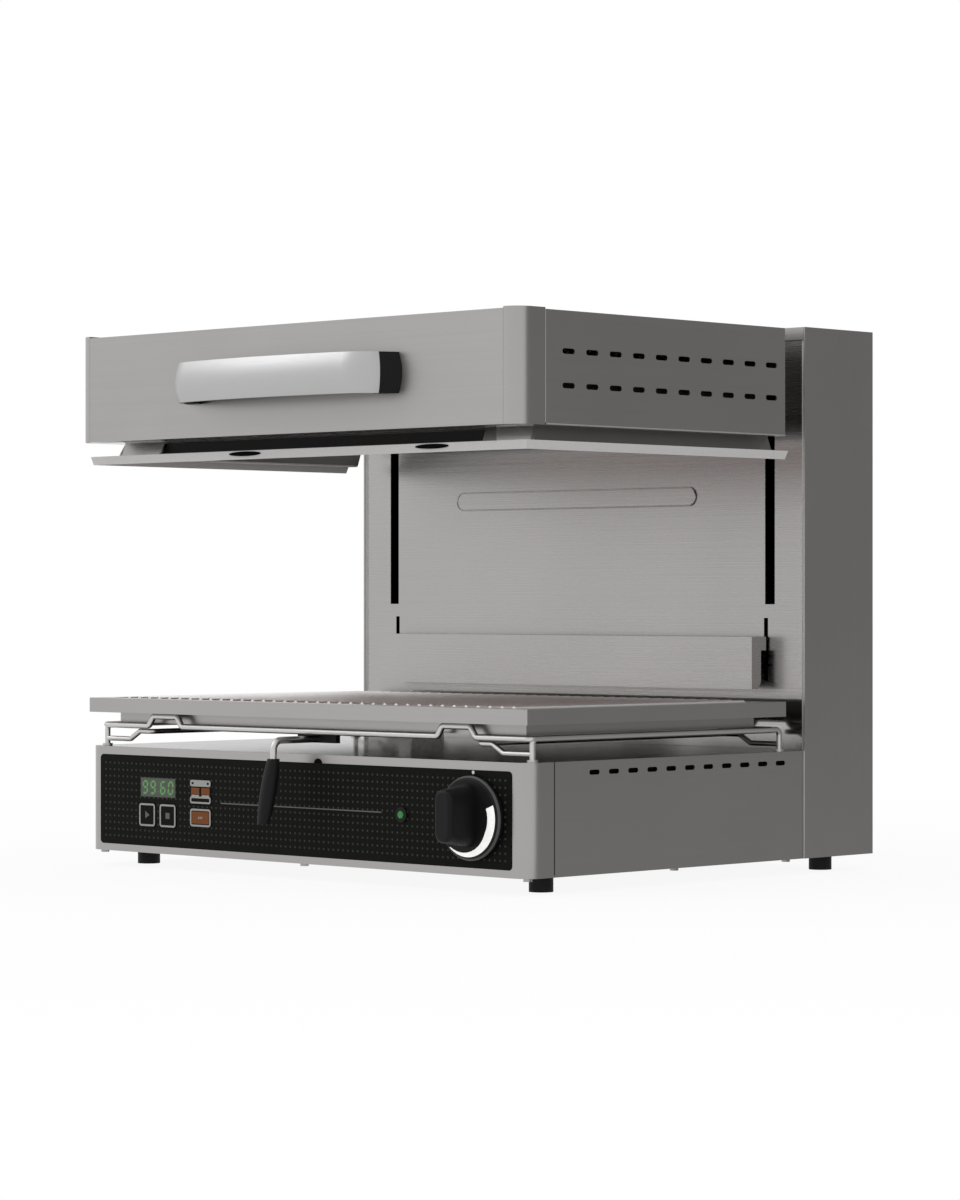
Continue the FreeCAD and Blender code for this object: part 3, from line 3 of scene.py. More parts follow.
import bmesh
import bpy
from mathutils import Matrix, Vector


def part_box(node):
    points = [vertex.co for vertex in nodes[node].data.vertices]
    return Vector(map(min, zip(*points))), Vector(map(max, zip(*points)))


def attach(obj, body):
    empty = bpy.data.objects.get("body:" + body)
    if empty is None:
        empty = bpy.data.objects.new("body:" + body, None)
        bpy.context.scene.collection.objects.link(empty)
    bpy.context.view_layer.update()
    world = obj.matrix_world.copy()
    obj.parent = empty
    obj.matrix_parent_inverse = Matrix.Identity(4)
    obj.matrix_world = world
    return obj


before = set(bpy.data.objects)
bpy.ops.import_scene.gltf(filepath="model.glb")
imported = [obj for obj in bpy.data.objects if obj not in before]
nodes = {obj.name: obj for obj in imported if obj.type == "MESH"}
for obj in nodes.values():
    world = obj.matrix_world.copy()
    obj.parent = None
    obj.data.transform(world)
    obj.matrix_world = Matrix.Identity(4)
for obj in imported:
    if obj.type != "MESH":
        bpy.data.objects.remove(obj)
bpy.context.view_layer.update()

# Lift salamander grill. All lengths are in metres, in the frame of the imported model.
MM = 0.001

# Camera, fitted to the photograph
CAMERA_AT = (2.57541, -2.62055, 0.26009)
CAMERA_YAW = math.radians(44.11)
CAMERA_LENS = 113.52
SENSOR = 36.0

# Printed marks stand a little proud of what carries them
PRINT = 0.15 * MM

# Looks: noise lies mostly between two values, and it varies gloss and surface a little
NOISE_LOW = 0.3
NOISE_HIGH = 0.7
CLOUD_SCALE = 7
METAL_GLOSS_SPREAD = 0.04
METAL_RELIEF = 0.05
METAL_RELIEF_DEPTH = 0.05 * MM
MOULD_GLOSS_SPREAD = 0.05
MOULD_RELIEF_DEPTH = 0.1 * MM
LIT_ROUGHNESS = 0.35
LIT_SCALE = 400
LIT_DIM = 0.85

# Fascia film, with its pattern of dots
DOT_PITCH = 6.45 * MM
DOT_RADIUS = 1.05 * MM
DOT_MARGIN = 3.2 * MM
DOT_COLOUR = (0.045, 0.047, 0.040)
DOT_RELIEF = 0.2
DOT_RELIEF_DEPTH = 0.05 * MM
FILM_DARK = (0.0042, 0.0046, 0.003)
FILM_LIGHT = (0.0056, 0.006, 0.0042)
FILM_SCALE = 500
FILM_GLOSS = 0.05
FILM_ROUGHNESS = (0.42, 0.5)
FILM_ROUGHNESS_SCALE = 60

# Quartz tubes
QUARTZ_DARK = (0.30, 0.05, 0.03)
QUARTZ_LIGHT = (0.48, 0.10, 0.06)
QUARTZ_GRAIN = (4, 90, 90)
QUARTZ_GLOW = 0.22
QUARTZ_ROUGHNESS = 0.12
QUARTZ_COAT = 0.5


def shader_material(name):
    material = bpy.data.materials.new(name)
    material.use_nodes = True
    tree = material.node_tree
    return material, tree, tree.nodes["Principled BSDF"]


# A material with no shader yet
def blank_material(name):
    material = bpy.data.materials.new(name)
    material.use_nodes = True
    material.node_tree.nodes.clear()
    return material, material.node_tree


def math_node(tree, operation, first, second=0.0):
    node = tree.nodes.new("ShaderNodeMath")
    node.operation = operation
    for socket, value in zip(node.inputs, (first, second)):
        if isinstance(value, (int, float)):
            socket.default_value = value
        else:
            tree.links.new(value, socket)
    return node.outputs[0]


def place(tree):
    return tree.nodes.new("ShaderNodeTexCoord").outputs["Object"]


def even(scale):
    return (scale, scale, scale)


def noise(tree, scale, detail=3.0):
    mapping = tree.nodes.new("ShaderNodeMapping")
    mapping.inputs["Scale"].default_value = scale
    tree.links.new(place(tree), mapping.inputs["Vector"])
    texture = tree.nodes.new("ShaderNodeTexNoise")
    texture.inputs["Scale"].default_value = 1.0
    texture.inputs["Detail"].default_value = detail
    tree.links.new(mapping.outputs[0], texture.inputs["Vector"])
    return texture.outputs[0]


def spread(tree, socket, low, high):
    node = tree.nodes.new("ShaderNodeMapRange")
    node.inputs["From Min"].default_value = NOISE_LOW
    node.inputs["From Max"].default_value = NOISE_HIGH
    node.inputs["To Min"].default_value = low
    node.inputs["To Max"].default_value = high
    tree.links.new(socket, node.inputs["Value"])
    return node.outputs[0]


# Mixes two colours, of which the first may also come from another node
def mixed(tree, factor, first, second):
    node = tree.nodes.new("ShaderNodeMix")
    node.data_type = "RGBA"
    tree.links.new(factor, node.inputs["Factor"])
    if isinstance(first, tuple):
        node.inputs["A"].default_value = (*first, 1)
    else:
        tree.links.new(first, node.inputs["A"])
    node.inputs["B"].default_value = (*second, 1)
    return node.outputs["Result"]


def bump(tree, shader, socket, strength, distance):
    node = tree.nodes.new("ShaderNodeBump")
    node.inputs["Strength"].default_value = strength
    node.inputs["Distance"].default_value = distance
    tree.links.new(socket, node.inputs["Height"])
    tree.links.new(node.outputs[0], shader.inputs["Normal"])


def scaled(colour, factor):
    return tuple(channel * factor for channel in colour)


# A colour that noise makes a little darker and lighter
def varied(tree, pattern, colour, variation):
    dark = scaled(colour, 1 - variation)
    light = scaled(colour, 1 + variation)
    return mixed(tree, spread(tree, pattern, 0, 1), dark, light)


def varied_roughness(tree, shader, pattern, low, high):
    tree.links.new(spread(tree, pattern, low, high), shader.inputs["Roughness"])


# Metals: fine streaks along the grain change colour, gloss and surface a little
def brushed_metal(name, colour, roughness, grain, streak=0.04):
    material, tree, shader = shader_material(name)
    streaks = noise(tree, grain)
    clouds = noise(tree, even(CLOUD_SCALE))
    shade = math_node(tree, "MULTIPLY", math_node(tree, "ADD", streaks, clouds), 0.5)
    tree.links.new(varied(tree, shade, colour, streak), shader.inputs["Base Color"])
    varied_roughness(tree, shader, streaks, roughness - METAL_GLOSS_SPREAD, roughness + METAL_GLOSS_SPREAD)
    shader.inputs["Metallic"].default_value = 1.0
    bump(tree, shader, streaks, METAL_RELIEF, METAL_RELIEF_DEPTH)
    return material


# Mouldings, rubber and print: fine grain in colour, gloss and surface
def moulded(name, colour, roughness, grain=900, variation=0.12, relief=0.15, gloss=0.2):
    material, tree, shader = shader_material(name)
    shader.inputs["Specular IOR Level"].default_value = gloss
    grains = noise(tree, even(grain))
    tree.links.new(varied(tree, grains, colour, variation), shader.inputs["Base Color"])
    varied_roughness(tree, shader, grains, roughness - MOULD_GLOSS_SPREAD, roughness + MOULD_GLOSS_SPREAD)
    bump(tree, shader, grains, relief, MOULD_RELIEF_DEPTH)
    return material


# A lit mark glows in its own colour, a little unevenly
def lit(name, colour, strength):
    material = moulded(name, colour, LIT_ROUGHNESS)
    tree = material.node_tree
    shader = tree.nodes["Principled BSDF"]
    glow = noise(tree, even(LIT_SCALE))
    tree.links.new(mixed(tree, spread(tree, glow, 0, 1), scaled(colour, LIT_DIM), colour),
                   shader.inputs["Emission Color"])
    shader.inputs["Emission Strength"].default_value = strength
    return material


# Distance from the nearest grid line's middle, along one axis
def grid_offset(tree, coordinate, start):
    shifted = math_node(tree, "SUBTRACT", coordinate, start)
    steps = math_node(tree, "DIVIDE", shifted, DOT_PITCH)
    return math_node(tree, "SUBTRACT", math_node(tree, "FRACT", steps), 0.5)


# A value that is 1 between two limits and 0 outside them
def between(tree, coordinate, low, high):
    above = math_node(tree, "GREATER_THAN", coordinate, low)
    below = math_node(tree, "LESS_THAN", coordinate, high)
    return math_node(tree, "MULTIPLY", above, below)


# The fascia film is black with a regular pattern of small grey dots, which stops short of its edges
def dotted_film(name, node):
    material, tree, shader = shader_material(name)
    low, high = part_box(node)
    axes = tree.nodes.new("ShaderNodeSeparateXYZ")
    tree.links.new(place(tree), axes.inputs[0])
    x = axes.outputs["X"]
    z = axes.outputs["Z"]
    columns = math.floor((high.x - low.x - 2 * DOT_MARGIN) / DOT_PITCH)
    rows = math.floor((high.z - low.z - 2 * DOT_MARGIN) / DOT_PITCH)
    x0 = (low.x + high.x - columns * DOT_PITCH) / 2
    z0 = (low.z + high.z - rows * DOT_PITCH) / 2
    across = math_node(tree, "POWER", grid_offset(tree, x, x0), 2)
    upward = math_node(tree, "POWER", grid_offset(tree, z, z0), 2)
    distance = math_node(tree, "SQRT", math_node(tree, "ADD", across, upward))
    dots = math_node(tree, "LESS_THAN", distance, DOT_RADIUS / DOT_PITCH)
    inside = math_node(tree, "MULTIPLY", between(tree, x, x0, x0 + columns * DOT_PITCH),
                       between(tree, z, z0, z0 + rows * DOT_PITCH))
    printed = math_node(tree, "MULTIPLY", dots, inside)
    clouds = spread(tree, noise(tree, even(FILM_SCALE)), 0, 1)
    black = mixed(tree, clouds, FILM_DARK, FILM_LIGHT)
    tree.links.new(mixed(tree, printed, black, DOT_COLOUR), shader.inputs["Base Color"])
    varied_roughness(tree, shader, noise(tree, even(FILM_ROUGHNESS_SCALE)), *FILM_ROUGHNESS)
    bump(tree, shader, printed, DOT_RELIEF, DOT_RELIEF_DEPTH)
    shader.inputs["Specular IOR Level"].default_value = FILM_GLOSS
    return material


# Ruby quartz: glassy, with slow streaks along the tube
def quartz(name):
    material, tree, shader = shader_material(name)
    streaks = noise(tree, QUARTZ_GRAIN)
    tint = mixed(tree, spread(tree, streaks, 0, 1), QUARTZ_DARK, QUARTZ_LIGHT)
    tree.links.new(tint, shader.inputs["Base Color"])
    tree.links.new(tint, shader.inputs["Emission Color"])
    shader.inputs["Emission Strength"].default_value = QUARTZ_GLOW
    shader.inputs["Roughness"].default_value = QUARTZ_ROUGHNESS
    shader.inputs["Coat Weight"].default_value = QUARTZ_COAT
    return material


STEEL = (0.388, 0.376, 0.370)
GRAIN_X = (3, 900, 900)
GRAIN_Y = (900, 3, 900)
GRAIN_Z = (900, 900, 3)
DECK_EDGE_TINT = (0.5, 0.5, 0.5, 1)

steel_across = brushed_metal("steel_across", STEEL, 0.32, GRAIN_X)
steel_back = brushed_metal("steel_back", STEEL, 0.32, GRAIN_Y)
steel_upright = brushed_metal("steel_upright", STEEL, 0.32, GRAIN_Z)
steel_panel = brushed_metal("steel_panel", scaled(STEEL, 1.03), 0.28, GRAIN_X)
# Bright steel: polished for the reflector, and a painted highlight on the hood's floor, the hood's hems, the
# skirt's plates and the foot plate's roll
bright_steel_and_painted_highlight = brushed_metal("bright_steel_and_painted_highlight", (0.62, 0.61, 0.60), 0.22, GRAIN_X)
steel_polished = brushed_metal("steel_polished", (0.46, 0.45, 0.44), 0.1, GRAIN_X)
deck_steel = brushed_metal("deck_steel", (0.33, 0.32, 0.315), 0.12, GRAIN_X)
deck_steel.node_tree.nodes["Principled BSDF"].inputs["Specular Tint"].default_value = DECK_EDGE_TINT
# A darker copy of the steel for the skirt's wall: painted shade under the hood
skirt_steel_painted_shade = brushed_metal("skirt_steel_painted_shade", scaled(STEEL, 0.68), 0.32, GRAIN_X)
wire = brushed_metal("wire", (0.58, 0.57, 0.56), 0.34, even(300))
# Wire for the grid, brighter than the other wire: painted light on a grid that lies in the hood's shade
grid_wire_painted_light = brushed_metal("grid_wire_painted_light", (0.95, 0.93, 0.92), 0.36, even(300))
ground = brushed_metal("ground", (0.6, 0.6, 0.6), 0.15, GRAIN_Z)
aluminium = brushed_metal("aluminium", (0.47, 0.47, 0.47), 0.42, GRAIN_X)
brass = brushed_metal("brass", (0.6, 0.42, 0.16), 0.3, even(400))
iron = brushed_metal("iron", (0.1, 0.1, 0.105), 0.45, even(200))
rubber = moulded("rubber", (0.008, 0.008, 0.008), 0.6, grain=700)
black_plastic = moulded("black_plastic", (0.008, 0.008, 0.0085), 0.45, grain=1200, gloss=0.13)
# A pale matt copy of the steel, painted light on the hood's lip, the lip's tongue and the folded front edges
# of the column
matt_steel_painted_light = moulded("matt_steel_painted_light", (0.57, 0.56, 0.55), 0.5, variation=0.06, relief=0.1)
# Black for painted shade: the half-round mark on the frame, the ovals on the lip and the sheets behind the
# column's slots and the base's vents
black_painted_shade = moulded("black_painted_shade", (0.003, 0.003, 0.003), 0.8, gloss=0.02)
black_enamel = moulded("black_enamel", (0.012, 0.012, 0.012), 0.5, grain=1500)
grey_plastic = moulded("grey_plastic", (0.2, 0.21, 0.22), 0.5)
board_green = moulded("board_green", (0.02, 0.1, 0.03), 0.45)
ceramic = moulded("ceramic", (0.7, 0.67, 0.6), 0.7, grain=500)
# The insulation is darkened to painted shade, so that the vents look dark inside
fibre_painted_shade = moulded("fibre_painted_shade", (0.05, 0.047, 0.04), 0.9, grain=250, variation=0.2, relief=0.5)
film = dotted_film("film", "control_fascia")
key_film = moulded("key_film", (0.0046, 0.005, 0.0036), 0.45, grain=500, gloss=FILM_GLOSS)
window = moulded("window", (0.085, 0.098, 0.078), 0.35, grain=300)
ruby = quartz("ruby")
white_print = moulded("white_print", (0.78, 0.78, 0.76), 0.5, grain=600, variation=0.05, relief=0.05)
grey_print = moulded("grey_print", (0.12, 0.12, 0.11), 0.5, grain=600, variation=0.08, relief=0.05)
frame_print = moulded("frame_print", (0.34, 0.34, 0.32), 0.5, grain=600, variation=0.08, relief=0.05)
orange_print = moulded("orange_print", (0.17, 0.052, 0.010), 0.5, grain=600, variation=0.15, relief=0.05)
digit_green = lit("digit_green", (0.10, 0.24, 0.09), 0.3)
# The knob's white arc glows a little: painted light on a print
arc_white_painted_glow = lit("arc_white_painted_glow", (0.95, 0.95, 0.93), 0.35)
# Grey for the knob's rim: a painted highlight
rim_painted_highlight = moulded("rim_painted_highlight", (0.075, 0.075, 0.075), 0.4)
lamp_green = lit("lamp_green", (0.035, 0.2, 0.045), 0.25)

FINISHES = {
    steel_across: ["hood_front_panel", "hood_corners", "hood_top_cover", "base_front_frame",
                   "column_rear_cover", "column_top_cap", "bottom_tray", "carriage_crossbar", "drip_pan"],
    steel_panel: ["column_front_panel", "plate_sensor_bar"],
    deck_steel: ["deck"],
    steel_polished: ["cross_members"],
    matt_steel_painted_light: ["skirt_ring"],
    skirt_steel_painted_shade: ["skirt_wall"],
    steel_back: ["hood_side_left", "hood_side_right", "base_side_left", "base_side_right"],
    steel_upright: ["column_side_left", "column_side_right", "carriage_arms", "knob_shaft", "base_screws"],
    bright_steel_and_painted_highlight: ["reflector", "hood_floor"],
    wire: ["wire_stand", "lever_rod"],
    grid_wire_painted_light: ["cooking_grid"],
    ground: ["guide_rods"],
    aluminium: ["handle_bow"],
    brass: ["bonding_stud", "slide_bushes"],
    iron: ["transformer"],
    rubber: ["feet"],
    # The air baffle is black as painted shade in the opening at the hood's front
    black_plastic: ["knob_skirt", "knob_grip", "lever_grip", "handle_ends", "indicator_lamp", "air_baffle"],
    black_enamel: ["gas_spring_cylinders", "gas_spring_rods", "lever_bracket"],
    grey_plastic: ["power_regulator", "contactor", "terminal_block", "plate_switch", "cable_gland"],
    board_green: ["control_board"],
    ceramic: ["tube_holders"],
    fibre_painted_shade: ["insulation_slab"],
    film: ["control_fascia"],
    key_film: ["start_key", "stop_key", "zone_key", "hold_key"],
    window: ["display_module"],
    lamp_green: ["lamp_lens"],
    ruby: ["quartz_tubes"],
}
for finish, names in FINISHES.items():
    for name in names:
        mesh = nodes[name].data
        mesh.materials.clear()
        mesh.materials.append(finish)


# Puts a mesh or curve in the scene as a piece that rides on a body
def mounted(name, data, material, body):
    data.materials.append(material)
    piece = bpy.data.objects.new(name, data)
    bpy.context.scene.collection.objects.link(piece)
    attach(piece, body)


def finished(name, shape, material, body):
    bmesh.ops.recalc_face_normals(shape, faces=shape.faces)
    mesh = bpy.data.meshes.new(name)
    shape.to_mesh(mesh)
    shape.free()
    mounted(name, mesh, material, body)


# A piece made of flat faces, each drawn out to a plate
def plated(name, faces, lift, material, body):
    shape = bmesh.new()
    for corners in faces:
        face = shape.faces.new([shape.verts.new(corner) for corner in corners])
        top = bmesh.ops.extrude_face_region(shape, geom=[face])["geom"]
        moved = [item for item in top if isinstance(item, bmesh.types.BMVert)]
        bmesh.ops.translate(shape, verts=moved, vec=lift)
    finished(name, shape, material, body)


# The same for outlines in X and Z, each raised from y_back to y_front
def raised(name, outlines, y_front, y_back, material, body):
    faces = [[(x, y_back, z) for x, z in outline] for outline in outlines]
    plated(name, faces, (0, y_front - y_back, 0), material, body)


# A thin round edge along a line of points
def round_edge(name, points, radius, closed, material, body):
    curve = bpy.data.curves.new(name, "CURVE")
    curve.dimensions = "3D"
    curve.bevel_depth = radius
    curve.bevel_resolution = 3
    spline = curve.splines.new("POLY")
    spline.points.add(len(points) - 1)
    for point, (x, y, z) in zip(spline.points, points):
        point.co = (x, y, z, 1)
    spline.use_cyclic_u = closed
    mounted(name, curve, material, body)


def rounded(x, z, width, height, radius, steps=6):
    points = []
    corners = [(1, 1, 0), (-1, 1, 90), (-1, -1, 180), (1, -1, 270)]
    for side_x, side_z, start in corners:
        centre_x = x + side_x * (width / 2 - radius)
        centre_z = z + side_z * (height / 2 - radius)
        for step in range(steps + 1):
            angle = math.radians(start + 90 * step / steps)
            points.append((centre_x + radius * math.cos(angle), centre_z + radius * math.sin(angle)))
    return points


# A frame between two outlines of equal length is a loop of short plates
def outline_frame(outer, inner):
    count = len(outer)
    return [[outer[i], outer[(i + 1) % count], inner[(i + 1) % count], inner[i]] for i in range(count)]


def bar(x, z, width, height):
    return [(x - width / 2, z - height / 2), (x + width / 2, z - height / 2),
            (x + width / 2, z + height / 2), (x - width / 2, z + height / 2)]


def oval(x, z, width, height, steps=32):
    turn = 2 * math.pi / steps
    return [(x + width / 2 * math.cos(turn * i), z + height / 2 * math.sin(turn * i)) for i in range(steps)]


def disc(x, z, radius):
    return oval(x, z, 2 * radius, 2 * radius)


# Centre, width, height and front of a node, seen from the front
def face_of(node):
    low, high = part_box(node)
    middle = (low + high) / 2
    return middle.x, middle.z, high.x - low.x, high.z - low.z, low.y


# The outer face of a sheet on the left or right side
def outer_x(low, high):
    return low.x if low.x < 0 else high.x


# Keys: a round-cornered line near the edge of the raised face, with a symbol in its middle
KEY_FLANGE = 1.5 * MM
KEY_LINE = 1.8 * MM
KEY_LINE_INSET = 0.5 * MM
KEY_CORNER = 3.0 * MM
LEAST_CORNER = 0.2 * MM
SYMBOL_REACH = 3.6 * MM
ARROW_TAIL = 0.7
SQUARE_SIDE = 1.6


def key_face(node):
    x, z, width, height, front = face_of(node)
    edge = 2 * (KEY_FLANGE + KEY_LINE_INSET)
    return x, z, width - edge, height - edge, front


def line_frame(x, z, width, height, radius, line):
    outer = rounded(x, z, width, height, radius)
    inner = rounded(x, z, width - 2 * line, height - 2 * line, max(radius - line, LEAST_CORNER))
    return outline_frame(outer, inner)


def key_print(node, part, outlines, material):
    front = face_of(node)[4]
    raised(node + "_" + part, outlines, front - PRINT, front, material, node)


def key_outline(node):
    x, z, width, height, _ = key_face(node)
    key_print(node, "line", line_frame(x, z, width, height, KEY_CORNER, KEY_LINE), frame_print)


def start_stop_keys():
    reach = SYMBOL_REACH
    for node in ("start_key", "stop_key"):
        key_outline(node)
        x, z = key_face(node)[:2]
        arrow = [(x - reach * ARROW_TAIL, z - reach), (x + reach, z), (x - reach * ARROW_TAIL, z + reach)]
        square = bar(x, z, SQUARE_SIDE * reach, SQUARE_SIDE * reach)
        key_print(node, "symbol", [arrow if node == "start_key" else square], grey_print)


start_stop_keys()


# The zone key shows two fields between a light cap and a light tray. Shares are of the face's width.
ZONE_CAP = 6.2 * MM
ZONE_TRAY = 6.8 * MM
ZONE_CORNER = 2.2 * MM
ZONE_LINE = 1.7 * MM
ZONE_FIELD_PLACE = 0.25
ZONE_FIELD_SHARE = 0.4
ZONE_FIELD_HEIGHT = 6.8 * MM
ZONE_FIELD_DROP = 4.6 * MM
ZONE_FOOT_SHARE = 0.36
ZONE_FOOT_HEIGHT = 2.0 * MM
ZONE_END_PLACE = 0.37
ZONE_END_WIDTH = 2.6 * MM
ZONE_END_HEIGHT = 2.0 * MM


def zone_key():
    node = "zone_key"
    x, z, width, height, front = key_face(node)
    top = z + height / 2
    low = z - height / 2
    light = [rounded(x, top - ZONE_CAP / 2, width, ZONE_CAP, ZONE_CORNER)]
    light += line_frame(x, low + ZONE_TRAY / 2, width, ZONE_TRAY, ZONE_CORNER, ZONE_LINE)
    fields = []
    feet = []
    ends = []
    for side in (-1, 1):
        middle = x + side * width * ZONE_FIELD_PLACE
        fields.append(bar(middle, top - ZONE_CAP - ZONE_FIELD_DROP,
                          width * ZONE_FIELD_SHARE, ZONE_FIELD_HEIGHT))
        feet.append(bar(middle, low + ZONE_TRAY + ZONE_FOOT_HEIGHT / 2,
                        width * ZONE_FOOT_SHARE, ZONE_FOOT_HEIGHT))
        ends.append(bar(x + side * width * ZONE_END_PLACE, top - ZONE_CAP / 2,
                        ZONE_END_WIDTH, ZONE_END_HEIGHT))
    key_print(node, "frame", light + feet, frame_print)
    key_print(node, "fields", fields, orange_print)
    raised("zone_key_ends", ends, front - 2 * PRINT, front - PRINT, key_film, node)


zone_key()


# The hold key shows one field with a small wave in a light frame
HOLD_FIELD_EDGE = 3 * KEY_LINE
WAVE_STEP = 2.2 * MM
WAVE_COUNT = 3


def hold_key():
    node = "hold_key"
    key_outline(node)
    x, z, width, height, front = key_face(node)
    key_print(node, "field", [bar(x, z, width - HOLD_FIELD_EDGE, height - HOLD_FIELD_EDGE)], orange_print)
    half = 0.5 * WAVE_STEP
    wave = []
    for i in range(WAVE_COUNT):
        left = x + (i - WAVE_COUNT / 2) * WAVE_STEP
        wave.append([(left, z - half), (left + half, z - half),
                     (left + WAVE_STEP, z + half), (left + half, z + half)])
    raised("hold_key_wave", wave, front - 2 * PRINT, front - PRINT, frame_print, node)


hold_key()


# Seven-segment digits, with each bar a flat six-cornered plate
DIGITS = "9960"
DIGIT_WIDTH = 8.2 * MM
DIGIT_HEIGHT = 13.6 * MM
DIGIT_PITCH = 11.2 * MM
DIGIT_PAIR_GAP = 3.4 * MM
DIGIT_BAR = 2.2 * MM
DIGIT_GAP = 0.35 * MM
DIGIT_LEAN = 0.08
SEGMENTS = {
    "a": (0, 1, True), "b": (0.5, 0.5, False), "c": (0.5, -0.5, False), "d": (0, -1, True),
    "e": (-0.5, -0.5, False), "f": (-0.5, 0.5, False), "g": (0, 0, True),
}
SHOWN = {"0": "abcdef", "6": "acdefg", "9": "abcdfg"}


def segment(x, z, length, lying):
    half = length / 2 - DIGIT_GAP
    thick = DIGIT_BAR / 2
    points = [(-half, 0), (-half + thick, thick), (half - thick, thick),
              (half, 0), (half - thick, -thick), (-half + thick, -thick)]
    if not lying:
        points = [(b, a) for a, b in points]
    return [(x + a, z + b) for a, b in points]


def digit(centre_x, centre_z, figure):
    wide = DIGIT_WIDTH - DIGIT_BAR
    tall = (DIGIT_HEIGHT - DIGIT_BAR) / 2
    outlines = []
    for key in SHOWN[figure]:
        across, up, lying = SEGMENTS[key]
        x = centre_x + across * wide
        z = centre_z + up * tall
        outline = segment(x, z, wide if lying else tall, lying)
        outlines.append([(a + DIGIT_LEAN * (b - centre_z), b) for a, b in outline])
    return outlines


def display_digits():
    x, z, _, _, front = face_of("display_module")
    middle = (len(DIGITS) - 1) / 2
    outlines = []
    for i, figure in enumerate(DIGITS):
        offset = (i - middle) * DIGIT_PITCH + math.copysign(DIGIT_PAIR_GAP / 2, i - middle)
        outlines += digit(x + offset, z, figure)
    raised("display_digits", outlines, front - PRINT, front, digit_green, "root")


display_digits()


# Knob print, glowing a little as painted light, with angles counted clockwise from the top
ARC_START = math.radians(68)
ARC_TAPER = math.radians(120)
ARC_END = math.radians(219)
ARC_OUTER = 34.3 * MM
ARC_WIDTH = 9.2 * MM
ARC_TIP = 0.8 * MM
ARC_STEPS = 72


def knob_arc():
    x, z, _, _, front = face_of("knob_skirt")
    points = []
    for i in range(ARC_STEPS + 1):
        angle = ARC_START + (ARC_END - ARC_START) * i / ARC_STEPS
        share = max(0, (angle - ARC_TAPER) / (ARC_END - ARC_TAPER))
        points.append((angle, ARC_OUTER - (ARC_WIDTH + (ARC_TIP - ARC_WIDTH) * share)))
    outlines = []
    for (a0, inner0), (a1, inner1) in zip(points, points[1:]):
        outlines.append([(x + r * math.sin(a), z + r * math.cos(a))
                         for a, r in ((a0, ARC_OUTER), (a1, ARC_OUTER), (a1, inner1), (a0, inner0))])
    raised("knob_arc", outlines, front - PRINT, front, arc_white_painted_glow, "knob")


knob_arc()


# A grey rim on the outer edge of the knob's skirt, where its bevel ends: a painted highlight of the lit bevel
KNOB_BEVEL = 3.2 * MM
RIM_WIDTH = 1.5 * MM
RIM_PROUD = 0.1 * MM
RIM_STEPS = 96


def knob_rim_painted_highlight():
    low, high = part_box("knob_skirt")
    centre = (low + high) / 2
    radius = (high.x - low.x) / 2
    corner = low.y + KNOB_BEVEL
    back = corner + RIM_WIDTH / 2
    section = [(radius - RIM_WIDTH, corner - RIM_WIDTH - RIM_PROUD), (radius + RIM_PROUD, corner - RIM_PROUD),
               (radius + RIM_PROUD, back), (radius, back), (radius, corner),
               (radius - RIM_WIDTH, corner - RIM_WIDTH)]
    shape = bmesh.new()
    loops = []
    for i in range(RIM_STEPS):
        angle = 2 * math.pi * i / RIM_STEPS
        loops.append([shape.verts.new((centre.x + r * math.sin(angle), y, centre.z + r * math.cos(angle)))
                      for r, y in section])
    for first, second in zip(loops, loops[1:] + loops[:1]):
        for i in range(len(section)):
            j = (i + 1) % len(section)
            shape.faces.new((first[i], first[j], second[j], second[i]))
    finished("knob_rim_painted_highlight", shape, rim_painted_highlight, "knob")


knob_rim_painted_highlight()


# A long line and the knob's index dot on the fascia, and a black half-round mark of painted shade on the
# frame above it
FASCIA_LINE_AT = (6 * MM, 67 * MM)
FASCIA_LINE_SIZE = (218 * MM, 1.1 * MM)
FRAME_SHADE_X = 31 * MM
FRAME_SHADE_WIDTH = 11 * MM
FRAME_SHADE_HEIGHT = 4.5 * MM
INDEX_Z = 107 * MM
INDEX_RADIUS = 1.6 * MM


def fascia_marks():
    low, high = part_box("control_fascia")
    front = low.y
    line = bar(*FASCIA_LINE_AT, *FASCIA_LINE_SIZE)
    raised("fascia_line", [line], front - PRINT, front, grey_print, "root")
    round_shade = oval(FRAME_SHADE_X, high.z, FRAME_SHADE_WIDTH, 2 * FRAME_SHADE_HEIGHT)
    half_round = [(x, z) for x, z in round_shade if z >= high.z]
    frame_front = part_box("base_front_frame")[0].y
    raised("frame_painted_shade", [half_round], frame_front - PRINT, frame_front, black_painted_shade, "root")
    dot = disc(face_of("knob_skirt")[0], INDEX_Z, INDEX_RADIUS)
    raised("index_dot", [dot], front - PRINT, front, white_print, "root")


fascia_marks()


# The pressed bead of the column's panel has a rounded edge. Its ends keep a very short straight.
BEAD_LENGTH = 324 * MM
BEAD_HEIGHT = 17.5 * MM
BEAD_ABOVE_PANEL = 195 * MM
BEAD_STRAIGHT = 0.01 * MM
BEAD_STEPS = 12
BEAD_EDGE = 0.7 * MM


def panel_bead():
    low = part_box("column_front_panel")[0]
    radius = BEAD_HEIGHT / 2 - BEAD_STRAIGHT
    outline = rounded(0, low.z + BEAD_ABOVE_PANEL, BEAD_LENGTH, BEAD_HEIGHT, radius, BEAD_STEPS)
    points = [(x, low.y, z) for x, z in outline]
    round_edge("panel_bead", points, BEAD_EDGE, True, steel_panel, "root")


panel_bead()


# The sheet edge at the foot of each hood side is folded round, in bright steel as a painted highlight along
# it
HEM_RADIUS = 0.8 * MM


def hood_hems():
    for node in ("hood_side_left", "hood_side_right"):
        low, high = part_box(node)
        x = outer_x(low, high)
        z = low.z + HEM_RADIUS
        points = [(x, low.y, z), (x, high.y, z)]
        round_edge(node + "_hem", points, HEM_RADIUS, False, bright_steel_and_painted_highlight, "hood")


hood_hems()


